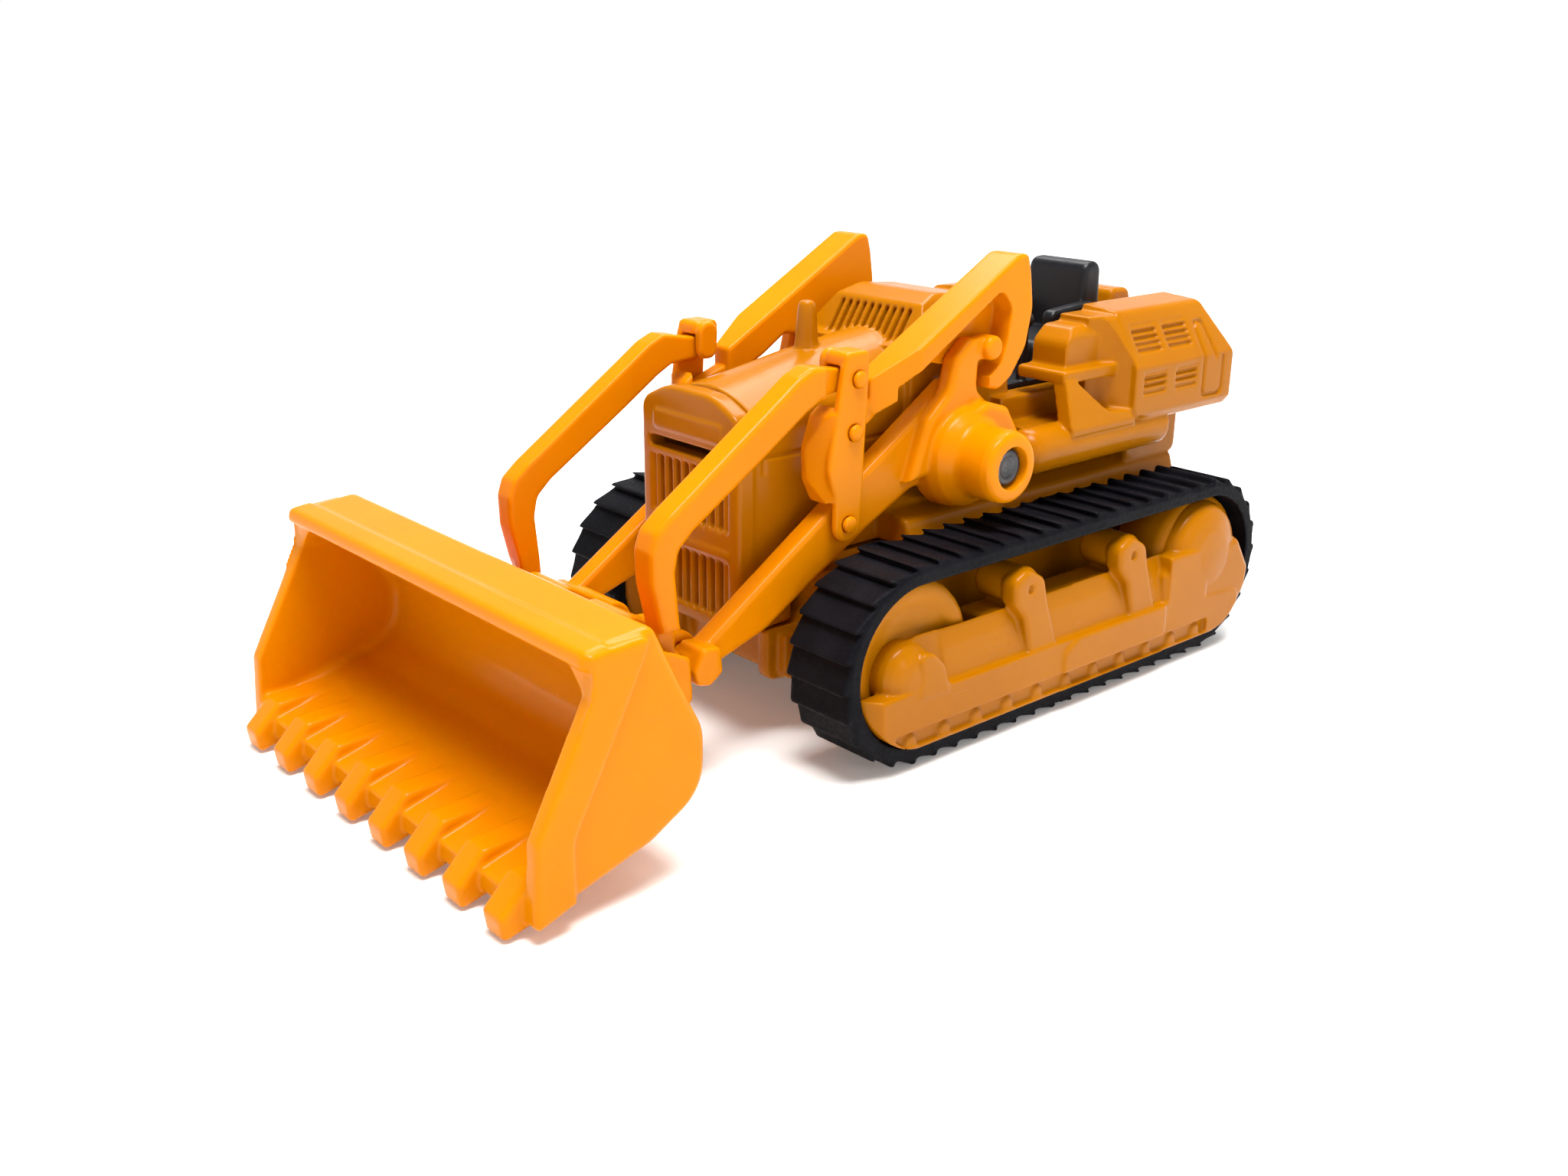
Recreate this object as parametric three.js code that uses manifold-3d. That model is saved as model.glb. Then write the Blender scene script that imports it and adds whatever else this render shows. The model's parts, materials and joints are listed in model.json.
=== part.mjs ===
// Toy crawler loader: a small die-cast tractor on rubber tracks with a moulded front bucket.
// Frame: millimetres, +Z up, the bucket faces -Y, the driver's left is +X.
// Origin: centre of the whole toy's box, on the ground.

import * as THREE from 'three';
import * as BufferGeometryUtils from 'three/addons/utils/BufferGeometryUtils.js';
import Module from 'manifold-3d';

const wasm = await Module();
wasm.setup();

// ---------- driving dimensions ----------

const GAP = 0.3; // room between neighbouring pieces

// running gear
const AXLE_Z = 7.5;
const FRONT_AXLE_Y = -3.4;
const REAR_AXLE_Y = 30.5;
const AXLE_R = 0.9;
const AXLE_BORE_R = 0.97;
const BELT_INNER_R = 6.15;
const BELT_BASE = 0.75;
const LUG_HEIGHT = 0.6;
const LUG_COUNT = 52;
const BELT_IN_X = 10.3;
const BELT_OUT_X = 16.3;
const WHEEL_R = 5.9;
const WHEEL_IN_X = 10.7;
const WHEEL_OUT_X = 15.2;
const FRAME_OUT_X = 17.0;
const FRAME_PLATE_X = 15.6;

// body
const BASE_HALF_WIDTH = 9.6;
const BASE_TOP = 12.7;
const BODY_FLOOR = BASE_TOP + GAP;
const RIVET_YS = [3.0, 25.0];
const RIVET_R = 0.85;
const RIVET_BORE_R = 0.95;
const WIDE = 20; // a reach past the toy's sides for cutting tools
const HOOD_HALF_WIDTH = 5.4;
const HOOD_FRONT_Y = -11.1;
const REAR_Y = 37.8;
const BOX_OUT_X = 12.3;
const BOX_FRONT_Y = 24.3;

// loader linkage: pivots in the side view, [y, z]
const BOOM_PIVOT = [7.3, 19.4];
const BUCKET_PIVOT = [-16.8, 8.9];
const CRANK_PIVOT = [-4.2, 16.3];
const CRANK_MID = [-3.8, 22.8];
const CRANK_TOP = [-3.5, 26.5];
const LINK_FOOT = [-19.5, 9.4];
const BOOM_NUB = [9.55, 27.25];
const BOOM_IN_X = 6.7;
const BOOM_OUT_X = 8.5;
const CRANK_PLATE_IN_X = 8.75;
const CRANK_OUT_X = 9.35;
const PIN_R = 1.4;
const PIN_END_X = 13.9;

// bucket
const BUCKET_HALF_WIDTH = 18.85;
const TOOTH_COUNT = 8;
const TOOTH_SPAN = 32.6;
const TIP_HALF_WIDTH = 0.85;
const SHOULDER_HALF_WIDTH = 1.45;
const WALL = 1.2;

// ---------- solids ----------

const toSolid = (geometry) => {
  const bare = geometry.index ? geometry.toNonIndexed() : geometry.clone();
  for (const name of Object.keys(bare.attributes)) if (name !== 'position') bare.deleteAttribute(name);
  const merged = BufferGeometryUtils.mergeVertices(bare, 1e-4);
  const vertProperties = new Float32Array(merged.attributes.position.array);
  const triVerts = new Uint32Array(merged.index.array);
  return new wasm.Manifold(new wasm.Mesh({ numProp: 3, vertProperties, triVerts }));
};

const toGeometry = (solid) => {
  const mesh = solid.getMesh();
  const geometry = new THREE.BufferGeometry();
  geometry.setAttribute('position', new THREE.BufferAttribute(mesh.vertProperties, 3));
  geometry.setIndex(new THREE.BufferAttribute(mesh.triVerts, 1));
  return geometry;
};

const join = (...solids) => solids.reduce((whole, piece) => whole.add(piece));
const cut = (solid, ...tools) => tools.reduce((rest, tool) => rest.subtract(tool), solid);

const AXES = {
  x: new THREE.Matrix4().set(0, 0, 1, 0, 1, 0, 0, 0, 0, 1, 0, 0, 0, 0, 0, 1), // (u, v, w) = (y, z, x)
  y: new THREE.Matrix4().set(1, 0, 0, 0, 0, 0, -1, 0, 0, 1, 0, 0, 0, 0, 0, 1), // (u, v, w) = (x, z, -y)
  z: new THREE.Matrix4(), // (u, v, w) = (x, y, z)
};

const shapeOf = (points) => new THREE.Shape(points.map(([u, v]) => new THREE.Vector2(u, v)));

// an outline pushed along an axis from low to high
const extrude = (outline, axis, low, high) => {
  const shape = Array.isArray(outline) ? shapeOf(outline) : outline;
  const geometry = new THREE.ExtrudeGeometry(shape, { depth: high - low, bevelEnabled: false, curveSegments: 10 });
  geometry.translate(0, 0, axis === 'y' ? -high : low);
  return toSolid(geometry.applyMatrix4(AXES[axis]));
};

const box = (x0, x1, y0, y1, z0, z1) => {
  const geometry = new THREE.BoxGeometry(x1 - x0, y1 - y0, z1 - z0);
  return toSolid(geometry.translate((x0 + x1) / 2, (y0 + y1) / 2, (z0 + z1) / 2));
};

// a round bar along X through the side-view point [y, z]; end radius may differ
const barX = ([y, z], radius, x0, x1, sides = 16, endRadius = radius) => {
  const geometry = new THREE.CylinderGeometry(endRadius, radius, x1 - x0, sides);
  return toSolid(geometry.rotateZ(-Math.PI / 2).translate((x0 + x1) / 2, y, z));
};

const barY = ([x, z], radius, y0, y1, sides = 16) => {
  const geometry = new THREE.CylinderGeometry(radius, radius, y1 - y0, sides);
  return toSolid(geometry.translate(x, (y0 + y1) / 2, z));
};

const barZ = ([x, y], radius, z0, z1, sides = 16, endRadius = radius) => {
  const geometry = new THREE.CylinderGeometry(endRadius, radius, z1 - z0, sides);
  return toSolid(geometry.rotateX(Math.PI / 2).translate(x, y, (z0 + z1) / 2));
};

// a straight-sided shell through cross-sections [y, [[x, z], ...]] in rising y, each ring anticlockwise in (x, z)
const loft = (sections) => {
  const count = sections[0][1].length;
  const positions = sections.flatMap(([y, ring]) => ring.flatMap(([x, z]) => [x, y, z]));
  const index = [];
  for (let s = 0; s + 1 < sections.length; s++) {
    for (let i = 0; i < count; i++) {
      const j = (i + 1) % count;
      const [a, b, c, d] = [s * count + i, s * count + j, (s + 1) * count + i, (s + 1) * count + j];
      index.push(a, c, b, b, c, d);
    }
  }
  const lastRow = (sections.length - 1) * count;
  const faces = THREE.ShapeUtils.triangulateShape(sections[0][1].map(([x, z]) => new THREE.Vector2(x, z)), []);
  for (const [a, b, c] of faces) {
    index.push(a, b, c);
    index.push(lastRow + a, lastRow + c, lastRow + b);
  }
  const geometry = new THREE.BufferGeometry();
  geometry.setAttribute('position', new THREE.Float32BufferAttribute(positions, 3));
  geometry.setIndex(index);
  return toSolid(geometry);
};

// corner points rounded to a radius: corners are [u, v, radius]; a radius shrinks to fit its two edges
const rounded = (corners, steps = 3) => {
  const points = [];
  const count = corners.length;
  const at = (i) => new THREE.Vector2(corners[(i + count) % count][0], corners[(i + count) % count][1]);
  corners.forEach(([u, v, wanted = 0], i) => {
    if (!wanted) {
      points.push([u, v]);
      return;
    }
    const before = at(i - 1).sub(at(i));
    const after = at(i + 1).sub(at(i));
    const room = 0.48 * Math.min(before.length(), after.length());
    before.normalize();
    after.normalize();
    const half = Math.acos(THREE.MathUtils.clamp(before.dot(after), -1, 1)) / 2;
    const reach = Math.min(wanted / Math.tan(half), room);
    const radius = reach * Math.tan(half);
    const start = at(i).addScaledVector(before, reach);
    const end = at(i).addScaledVector(after, reach);
    const centre = at(i).addScaledVector(before.clone().add(after).normalize(), radius / Math.sin(half));
    const from = start.sub(centre).angle();
    let sweep = end.sub(centre).angle() - from;
    if (sweep > Math.PI) sweep -= 2 * Math.PI;
    if (sweep < -Math.PI) sweep += 2 * Math.PI;
    for (let k = 0; k <= steps; k++) {
      const angle = from + (sweep * k) / steps;
      points.push([centre.x + radius * Math.cos(angle), centre.y + radius * Math.sin(angle)]);
    }
  });
  return points;
};

const mirrorX = (solid) => solid.mirror([1, 0, 0]);
const bothSides = (solid) => join(solid, mirrorX(solid));

// ---------- materials ----------

const paint = new THREE.MeshStandardMaterial({ color: 0xf09016, roughness: 0.25, metalness: 0.0 });
const plastic = new THREE.MeshStandardMaterial({ color: 0xffa012, roughness: 0.3, metalness: 0.0 });
const wheelPlastic = new THREE.MeshStandardMaterial({ color: 0xd98c00, roughness: 0.4, metalness: 0.0 });
const rubber = new THREE.MeshStandardMaterial({ color: 0x17181b, roughness: 0.65, metalness: 0.0 });
const blackPlastic = new THREE.MeshStandardMaterial({ color: 0x101114, roughness: 0.45, metalness: 0.0 });
const steel = new THREE.MeshStandardMaterial({ color: 0x6f7073, roughness: 0.4, metalness: 1.0 });

const loader = new THREE.Group();

const addPiece = (name, solid, material) => {
  const mesh = new THREE.Mesh(toGeometry(solid), material);
  mesh.name = name;
  loader.add(mesh);
};

const addPair = (name, leftSolid, material) => {
  addPiece(`${name}_left`, leftSolid, material);
  addPiece(`${name}_right`, mirrorX(leftSolid), material);
};

// ---------- running gear ----------

// a racetrack path round both axles, from the share of the way along to a point
const racetrack = (radius) => {
  const run = REAR_AXLE_Y - FRONT_AXLE_Y;
  const arc = Math.PI * radius;
  return (distance) => {
    const total = 2 * (run + arc);
    const d = ((distance * total) % total + total) % total;
    if (d < run) return [FRONT_AXLE_Y + d, AXLE_Z - radius];
    if (d < run + arc) {
      const angle = -Math.PI / 2 + (d - run) / radius;
      return [REAR_AXLE_Y + radius * Math.cos(angle), AXLE_Z + radius * Math.sin(angle)];
    }
    if (d < 2 * run + arc) return [REAR_AXLE_Y - (d - run - arc), AXLE_Z + radius];
    const angle = Math.PI / 2 + (d - 2 * run - arc) / radius;
    return [FRONT_AXLE_Y + radius * Math.cos(angle), AXLE_Z + radius * Math.sin(angle)];
  };
};

const innerLoop = (radius, sides) => {
  const points = [];
  for (let i = 0; i <= sides; i++) {
    const angle = -Math.PI / 2 + (Math.PI * i) / sides;
    points.push([REAR_AXLE_Y + radius * Math.cos(angle), AXLE_Z + radius * Math.sin(angle)]);
  }
  for (let i = 0; i <= sides; i++) {
    const angle = Math.PI / 2 + (Math.PI * i) / sides;
    points.push([FRONT_AXLE_Y + radius * Math.cos(angle), AXLE_Z + radius * Math.sin(angle)]);
  }
  return points;
};

const crawlerBelt = () => {
  const base = racetrack(BELT_INNER_R + BELT_BASE);
  const crest = racetrack(BELT_INNER_R + BELT_BASE + LUG_HEIGHT);
  // each grouser leans: a steep front flank and a longer back slope
  const profile = [[0.0, base], [0.12, crest], [0.5, crest], [0.72, base]];
  const outline = [];
  for (let lug = 0; lug < LUG_COUNT; lug++) {
    for (const [share, path] of profile) outline.push(path((lug + share) / LUG_COUNT));
  }
  const shape = shapeOf(outline);
  shape.holes.push(new THREE.Path(innerLoop(BELT_INNER_R, 16).map(([u, v]) => new THREE.Vector2(u, v))));
  return extrude(shape, 'x', BELT_IN_X, BELT_OUT_X);
};

const roadWheel = (axleY) => {
  const profile = [
    [0, WHEEL_IN_X], [WHEEL_R - 0.5, WHEEL_IN_X], [WHEEL_R, WHEEL_IN_X + 0.4], [WHEEL_R, WHEEL_OUT_X - 0.5],
    [WHEEL_R - 0.5, WHEEL_OUT_X], [WHEEL_R - 1.4, WHEEL_OUT_X], [WHEEL_R - 1.8, WHEEL_OUT_X - 0.5],
    [0, WHEEL_OUT_X - 0.5],
  ];
  const geometry = new THREE.LatheGeometry(profile.map(([r, x]) => new THREE.Vector2(r, x)), 28);
  const disc = toSolid(geometry.rotateZ(-Math.PI / 2).translate(0, axleY, AXLE_Z));
  return cut(disc, barX([axleY, AXLE_Z], AXLE_BORE_R + 0.03, 0, WHEEL_OUT_X - 1.2));
};

const axle = (axleY) => barX([axleY, AXLE_Z], AXLE_R, -(WHEEL_OUT_X - 1.5), WHEEL_OUT_X - 1.5);

addPair('track', crawlerBelt(), rubber);
addPiece('front_axle', axle(FRONT_AXLE_Y), steel);
addPair('idler', roadWheel(FRONT_AXLE_Y), wheelPlastic);
addPiece('rear_axle', axle(REAR_AXLE_Y), steel);
addPair('drive_wheel', roadWheel(REAR_AXLE_Y), wheelPlastic);

// ---------- track frames ----------

const PEG_YS = [8.5, 20.0];
const PEG_R = 1.2;
const PEG_Z = 6.4;
const BRACKET_YS = [8.4, 20.6];
const ROLLER_COUNT = 7;
const ROLLER_PITCH = 5.2;
const BEAM_FRONT_Y = 3.6;
const BEAM_REAR_Y = 23.4;
const FRAME_FLOOR = AXLE_Z - BELT_INNER_R + GAP;

const trackFrame = () => {
  const front = FRONT_AXLE_Y - BELT_INNER_R + GAP;
  const plate = rounded([
    [front + 3.4, FRAME_FLOOR, 1.2], [33.4, FRAME_FLOOR, 2.0], [36.2, 5.2, 1.5], [35.6, 7.6, 0.8], [33.4, 9.4, 0.5],
    [31.6, 12.2, 1.6], [27.6, 12.6, 1.6], [25.4, 9.6, 0.8], [-4.2, 9.6, 1.2], [-6.0, 7.0, 0.8], [-8.2, 7.0, 0.4],
    [front + 0.25, 7.0, 0.4], [front + 0.4, 5.0, 0.8],
  ]);
  const section = [
    [11.9, 3.0], [12.5, FRAME_FLOOR], [FRAME_OUT_X - 0.1, FRAME_FLOOR], [FRAME_OUT_X - 0.1, 5.9],
    [FRAME_OUT_X - 0.5, 6.1], [15.6, 8.9], [15.0, 9.2], [12.9, 9.2], [11.9, 8.2],
  ];
  const beam = extrude(section, 'y', BEAM_FRONT_Y, BEAM_REAR_Y);
  const skin = extrude(plate, 'x', FRAME_PLATE_X, FRAME_OUT_X);
  // the face above the ledge leans inboard
  const aboveLedge = [
    [FRAME_OUT_X + 0.01, 6.0], [FRAME_OUT_X + 0.01, 13.5], [15.7, 13.5], [16.0, 9.7], [16.6, 6.2],
  ];
  const lean = extrude(aboveLedge, 'y', -4.4, 25.2);
  const recess = rounded([[-5.6, 2.2, 0.4], [30.5, 2.2, 0.4], [30.5, 3.6, 0.4], [-6.6, 3.6, 0.4]]);
  const strip = extrude(recess, 'x', FRAME_OUT_X - 0.5, FRAME_OUT_X + 1);
  const rollers = [];
  for (let i = 0; i < ROLLER_COUNT; i++) {
    rollers.push(barX([FRONT_AXLE_Y + i * ROLLER_PITCH, 2.9], 0.55, FRAME_OUT_X - 0.6, FRAME_OUT_X - 0.15, 12));
  }
  const postSide = (y) => rounded([
    [y - 1.6, 6.0], [y + 1.8, 6.0], [y + 1.2, 11.2, 1.0], [y + 0.2, 12.6, 0.9], [y - 1.2, 11.9, 0.9],
  ]);
  const brackets = BRACKET_YS.flatMap((y) => [
    extrude(postSide(y), 'x', FRAME_PLATE_X - 0.4, FRAME_OUT_X - 0.5),
    barX([y, 11.4], 1.25, 12.4, 16.0, 18),
  ]);
  const tab = rounded([[-6.6, 5.4, 0.4], [-3.6, 5.6, 0.4], [-4.2, 8.0, 0.6], [-5.6, 8.0, 0.6]]);
  const yoke = join(
    barX([-5.2, 7.1], 2.3, FRAME_PLATE_X, FRAME_OUT_X - 0.15, 16),
    extrude(tab, 'x', FRAME_OUT_X - 0.3, FRAME_OUT_X + 0.15),
  );
  const pegs = PEG_YS.map((y) => barX([y, PEG_Z], PEG_R, BASE_HALF_WIDTH - 1.6, 12.2, 20));
  const window = extrude(innerLoop(BELT_INNER_R - GAP, 16), 'x', 0, WIDE);
  const solid = join(cut(skin, lean), beam, yoke, ...brackets, ...pegs).intersect(window);
  return join(cut(solid, strip), ...rollers);
};

addPair('track_frame', trackFrame(), paint);

// ---------- base ----------

const base = () => {
  const sideView = rounded([
    [-7.6, 4.8, 0.6], [-5.0, 3.2, 0.8], [33.6, 3.2, 1.5], [36.0, 6.0, 1.2], [36.0, BASE_TOP, 0.5], [-4.9, BASE_TOP],
    [-4.9, 7.9], [-7.6, 7.9, 0.3],
  ]);
  const trough = extrude(sideView, 'x', -BASE_HALF_WIDTH, BASE_HALF_WIDTH);
  const noseCut = bothSides(extrude([[6.6, -9], [14, -9], [14, -4.8], [9.0, -4.8], [6.6, -6.6]], 'z', 0, 20));
  const axleYs = [FRONT_AXLE_Y, REAR_AXLE_Y];
  const axleBores = axleYs.map((y) => barX([y, AXLE_Z], AXLE_BORE_R, -WIDE, WIDE));
  const pegHole = (y) => barX([y, PEG_Z], PEG_R + 0.12, BASE_HALF_WIDTH - 1.8, WIDE, 20);
  const pegHoles = bothSides(join(...PEG_YS.map(pegHole)));
  const hollow = bothSides(box(0.9, BASE_HALF_WIDTH - 2.6, -0.6, 27.8, 4.8, WIDE));
  const tubeReach = BASE_HALF_WIDTH + 0.7;
  const axleTubes = axleYs.map((y) => barX([y, AXLE_Z], 2.2, -tubeReach, tubeReach));
  const rivetPosts = RIVET_YS.map((y) => barZ([0, y], 2.0, 4.4, BASE_TOP));
  const rivetBores = RIVET_YS.map((y) => barZ([0, y], RIVET_BORE_R, 0, WIDE));
  // the tow loop that hangs below each side of the nose
  const loop = cut(
    extrude(rounded([[-8.6, 7.9], [-8.6, 4.4, 0.9], [-5.4, 4.0, 0.9], [-4.8, 7.9]]), 'x', 4.6, 5.8),
    extrude(rounded([[-7.5, 6.9, 0.4], [-7.5, 5.5, 0.6], [-5.9, 5.3, 0.5], [-5.9, 6.9, 0.4]]), 'x', 4, 7),
  );
  const solid = join(cut(trough, hollow, noseCut), ...rivetPosts, bothSides(loop), ...axleTubes);
  return cut(solid, ...axleBores, pegHoles, ...rivetBores);
};

addPiece('base', base(), paint);

// a stepped rivet that clamps the base to the body from below
const rivet = (y) => join(barZ([0, y], RIVET_R, 2.7, 15.4), barZ([0, y], 1.5, 2.5, 2.9, 20));
addPiece('rivet_front', rivet(RIVET_YS[0]), steel);
addPiece('rivet_rear', rivet(RIVET_YS[1]), steel);

// ---------- upper body shell ----------

// hood cross-section at one station: straight sides, a crowned top with rounded shoulders
const hoodRing = (half, bottom, shoulder, crown) => {
  const ring = [[-half, bottom], [-half, shoulder - 1.2], [-half + 0.35, shoulder - 0.35]];
  const steps = 10;
  for (let i = 0; i <= steps; i++) {
    const t = -1 + (2 * i) / steps;
    ring.push([t * (half - 0.9), crown - (crown - shoulder) * t * t]);
  }
  ring.push([half - 0.35, shoulder - 0.35], [half, shoulder - 1.2], [half, bottom]);
  return ring.reverse();
};

const hood = () => loft([
  [HOOD_FRONT_Y + 0.9, hoodRing(HOOD_HALF_WIDTH, 8.3, 24.1, 25.3)],
  [-8.6, hoodRing(HOOD_HALF_WIDTH, 8.3, 24.2, 25.5)],
  [-2.0, hoodRing(HOOD_HALF_WIDTH + 0.1, 9.0, 24.8, 26.7)],
  [6.0, hoodRing(HOOD_HALF_WIDTH + 0.1, 9.0, 25.6, 27.9)],
]);

const radiatorShell = () => {
  const face = rounded([
    [-HOOD_HALF_WIDTH, 8.2, 0.4], [HOOD_HALF_WIDTH, 8.2, 0.4], [HOOD_HALF_WIDTH, 24.0, 1.0],
    [2.6, 25.3, 6], [-2.6, 25.3, 6], [-HOOD_HALF_WIDTH, 24.0, 1.0],
  ]);
  const slab = extrude(face, 'y', HOOD_FRONT_Y, HOOD_FRONT_Y + 1.6);
  const upper = box(-4.3, 4.3, HOOD_FRONT_Y - 1, HOOD_FRONT_Y + 0.7, 14.9, 20.2);
  const lower = box(-4.3, 4.3, HOOD_FRONT_Y - 1, HOOD_FRONT_Y + 0.7, 9.3, 13.4);
  const ribs = [];
  for (let i = 0; i < 9; i++) {
    const x = -3.8 + i * 0.95;
    ribs.push(box(x - 0.2, x + 0.2, HOOD_FRONT_Y + 0.2, HOOD_FRONT_Y + 0.9, 9.1, 20.4));
  }
  const bar = box(-4.4, 4.4, HOOD_FRONT_Y + 0.1, HOOD_FRONT_Y + 0.9, 13.3, 15.0);
  return join(cut(slab, upper, lower), ...ribs, bar);
};

const cowl = () => {
  const sideView = [
    [5.0, 20], [5.0, 27.0], [6.0, 27.4], [7.7, 29.8], [9.0, 30.4], [13.5, 30.2], [15.6, 29.0],
    [16.2, 22.0], [16.2, 20],
  ];
  const across = rounded([
    [-6.1, 20], [6.1, 20], [6.1, 27.6, 1.4], [3.6, 31.0, 2.2], [-3.6, 31.0, 2.2], [-6.1, 27.6, 1.4],
  ], 6);
  const block = extrude(sideView, 'x', -6.1, 6.1);
  const crown = extrude(across, 'y', 4, 17);
  const ribs = [];
  const tilt = Math.atan2(29.8 - 27.4, 7.7 - 6.0);
  for (let i = 0; i < 9; i++) {
    const rib = new THREE.BoxGeometry(0.42, 2.6, 0.5).rotateX(tilt).translate(-3.2 + i * 0.8, 6.85, 28.55);
    ribs.push(toSolid(rib));
  }
  return join(block.intersect(crown), ...ribs);
};

const exhaust = () => join(
  barZ([0, 0.1], 1.05, 25.5, 29.9, 20, 0.8),
  toSolid(new THREE.SphereGeometry(0.8, 16, 8).scale(1, 1, 0.7).translate(0, 0.1, 29.9)),
);

// sloped-shoulder engine and tank housings behind the seat
const rearBox = () => {
  const front = [[6.6, 19.6], [BOX_OUT_X, 20.2], [BOX_OUT_X, 24.2], [9.8, 28.2], [9.0, 28.6], [6.6, 28.6]];
  const block = extrude(front, 'y', BOX_FRONT_Y, REAR_Y);
  const sideView = rounded([
    [BOX_FRONT_Y, 30], [BOX_FRONT_Y, 20.4, 0.6], [30.6, 18.9, 1.5], [REAR_Y, 19.0, 1.2], [REAR_Y, 24.4, 2.0],
    [35.6, 28.8, 1.6], [33, 30],
  ]);
  const body = block.intersect(extrude(sideView, 'x', 0, WIDE));
  const doorEdge = rounded([[33.6, 20.8, 0.3], [36.4, 20.8, 0.3], [36.4, 25.9, 0.3], [33.6, 25.9, 0.3]]);
  const doorPanel = rounded([[34.0, 21.2, 0.3], [36.0, 21.2, 0.3], [36.0, 25.5, 0.3], [34.0, 25.5, 0.3]]);
  const engraved = BOX_OUT_X - 0.25;
  const groove = cut(extrude(doorEdge, 'x', engraved, WIDE), extrude(doorPanel, 'x', BOX_OUT_X - 1, WIDE + 1));
  const windows = [25.5, 29.9].map((y) => box(engraved, WIDE, y, y + 2.8, 21.8, 23.8));
  return cut(body, groove, ...windows);
};

// console, deck edge, step and side tank, each running back into the box behind it
const sideDeck = () => {
  const back = BOX_FRONT_Y + 0.5;
  const consoleSide = rounded([[18.6, 24.2], [18.6, 26.6, 0.8], [19.6, 27.5, 0.8], [back, 27.6], [back, 24.2]]);
  const scoopSide = rounded([[17.2, 23.7], [16.6, 20.2], [back, 20.2], [back, 20.9], [21.0, 21.2, 1.5], [18.4, 23.7]]);
  const scoopEnd = [[11.3, 20.2], [12.2, 20.2], [10.8, 23.7], [9.9, 23.7]];
  return join(
    extrude(consoleSide, 'x', 6.4, 9.6),
    box(6.0, 10.9, 17.2, back, 23.6, 24.5),
    extrude(scoopSide, 'x', 9.6, 12.6).intersect(extrude(scoopEnd, 'y', 16, 26)),
    box(9.4, 12.2, 16.8, back, 19.6, 20.3),
    box(6.4, 10.0, 21.0, back, 20.0, 24.0),
    barY([10.4, 18.9], 1.8, 12.6, 29.6),
    box(5.2, 10.2, 14.4, 29.0, 18.0, 20.4),
  );
};

const rearBody = () => {
  const traySide = rounded([
    [14.0, 20.0], [14.0, 22.4], [31.0, 22.4], [31.0, 26.6, 0.4], [REAR_Y - 1, 27.2, 0.8], [REAR_Y, 25.4, 0.8],
    [REAR_Y, 19.0, 1.0], [30.6, 18.9], [24, 20],
  ]);
  const humpSide = rounded([[33.4, 26.8], [33.8, 28.6, 0.5], [36.2, 28.4, 0.5], [36.8, 26.8]]);
  const tray = extrude(traySide, 'x', -7.2, 7.2);
  const hump = extrude(humpSide, 'x', -2.4, 2.4);
  return join(tray, hump, bothSides(join(rearBox(), sideDeck())));
};

const middle = () => {
  const coreEnd = [
    [-HOOD_HALF_WIDTH, BODY_FLOOR], [HOOD_HALF_WIDTH, BODY_FLOOR],
    [5.9, 21.5], [5.9, 26.0], [-5.9, 26.0], [-5.9, 21.5],
  ];
  const skirtEnd = [[-9.2, BODY_FLOOR], [9.2, BODY_FLOOR], [8.6, 15.0], [6.1, 15.6], [-6.1, 15.6], [-8.6, 15.0]];
  const core = extrude(coreEnd, 'y', 5.5, 15.5);
  const skirt = extrude(skirtEnd, 'y', 2.4, 35.5);
  const spine = box(-6.1, 6.1, 14.5, 35.0, 15.0, 20.8);
  const rearBrackets = bothSides(cut(box(6.0, 8.4, 29.0, 36.4, 15.0, 19.6), barX([33.6, 17.2], 0.8, 5, 9)));
  return join(core, skirt, spine, rearBrackets);
};

const bodyShell = () => {
  const seam = bothSides(join(
    box(HOOD_HALF_WIDTH - 0.2, HOOD_HALF_WIDTH + 2, -8.7, 5.0, 20.9, 21.15),
    box(HOOD_HALF_WIDTH - 0.2, HOOD_HALF_WIDTH + 2, -8.7, -8.45, 19.9, 21.1),
  ));
  const hoodGroove = cut(box(-7, 7, -9.7, -9.35, 23.2, 30), hood().scale([0.96, 1, 0.988]));
  const whole = join(hood(), radiatorShell(), cowl(), exhaust(), rearBody(), middle());
  const slot = box(-4.5, 4.5, HOOD_FRONT_Y - 1, -8.7, 20.9, 21.6);
  const linerBay = box(-4.7, 4.7, HOOD_FRONT_Y + 1.5, -7.0, 20.4, 22.1);
  const seatBay = box(-5.2, 5.2, 17.0, 31.6, 21.6, 30);
  const underside = bothSides(box(0.9, 4.0, -8.6, 14.0, 0, 18.4));
  const rearHollow = bothSides(box(0.9, 5.0, 16.4, 33.0, 0, 18.4));
  const posts = RIVET_YS.map((y) => barZ([0, y], 1.9, BODY_FLOOR, 19.2));
  const rivetBores = RIVET_YS.map((y) => barZ([0, y], RIVET_BORE_R, 0, 15.6));
  const pinBore = barX(BOOM_PIVOT, PIN_R + 0.08, -WIDE, WIDE);
  const baseRoom = box(-WIDE, WIDE, -6.0, REAR_Y + 1, 0, BODY_FLOOR);
  const open = cut(whole, seam, hoodGroove, slot, linerBay, seatBay, underside, rearHollow);
  return cut(join(open, ...posts), pinBore, baseRoom, ...rivetBores);
};

addPiece('body_shell', bodyShell(), paint);

// ---------- black insert: seat, levers and the strip behind the grille slot ----------

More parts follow.
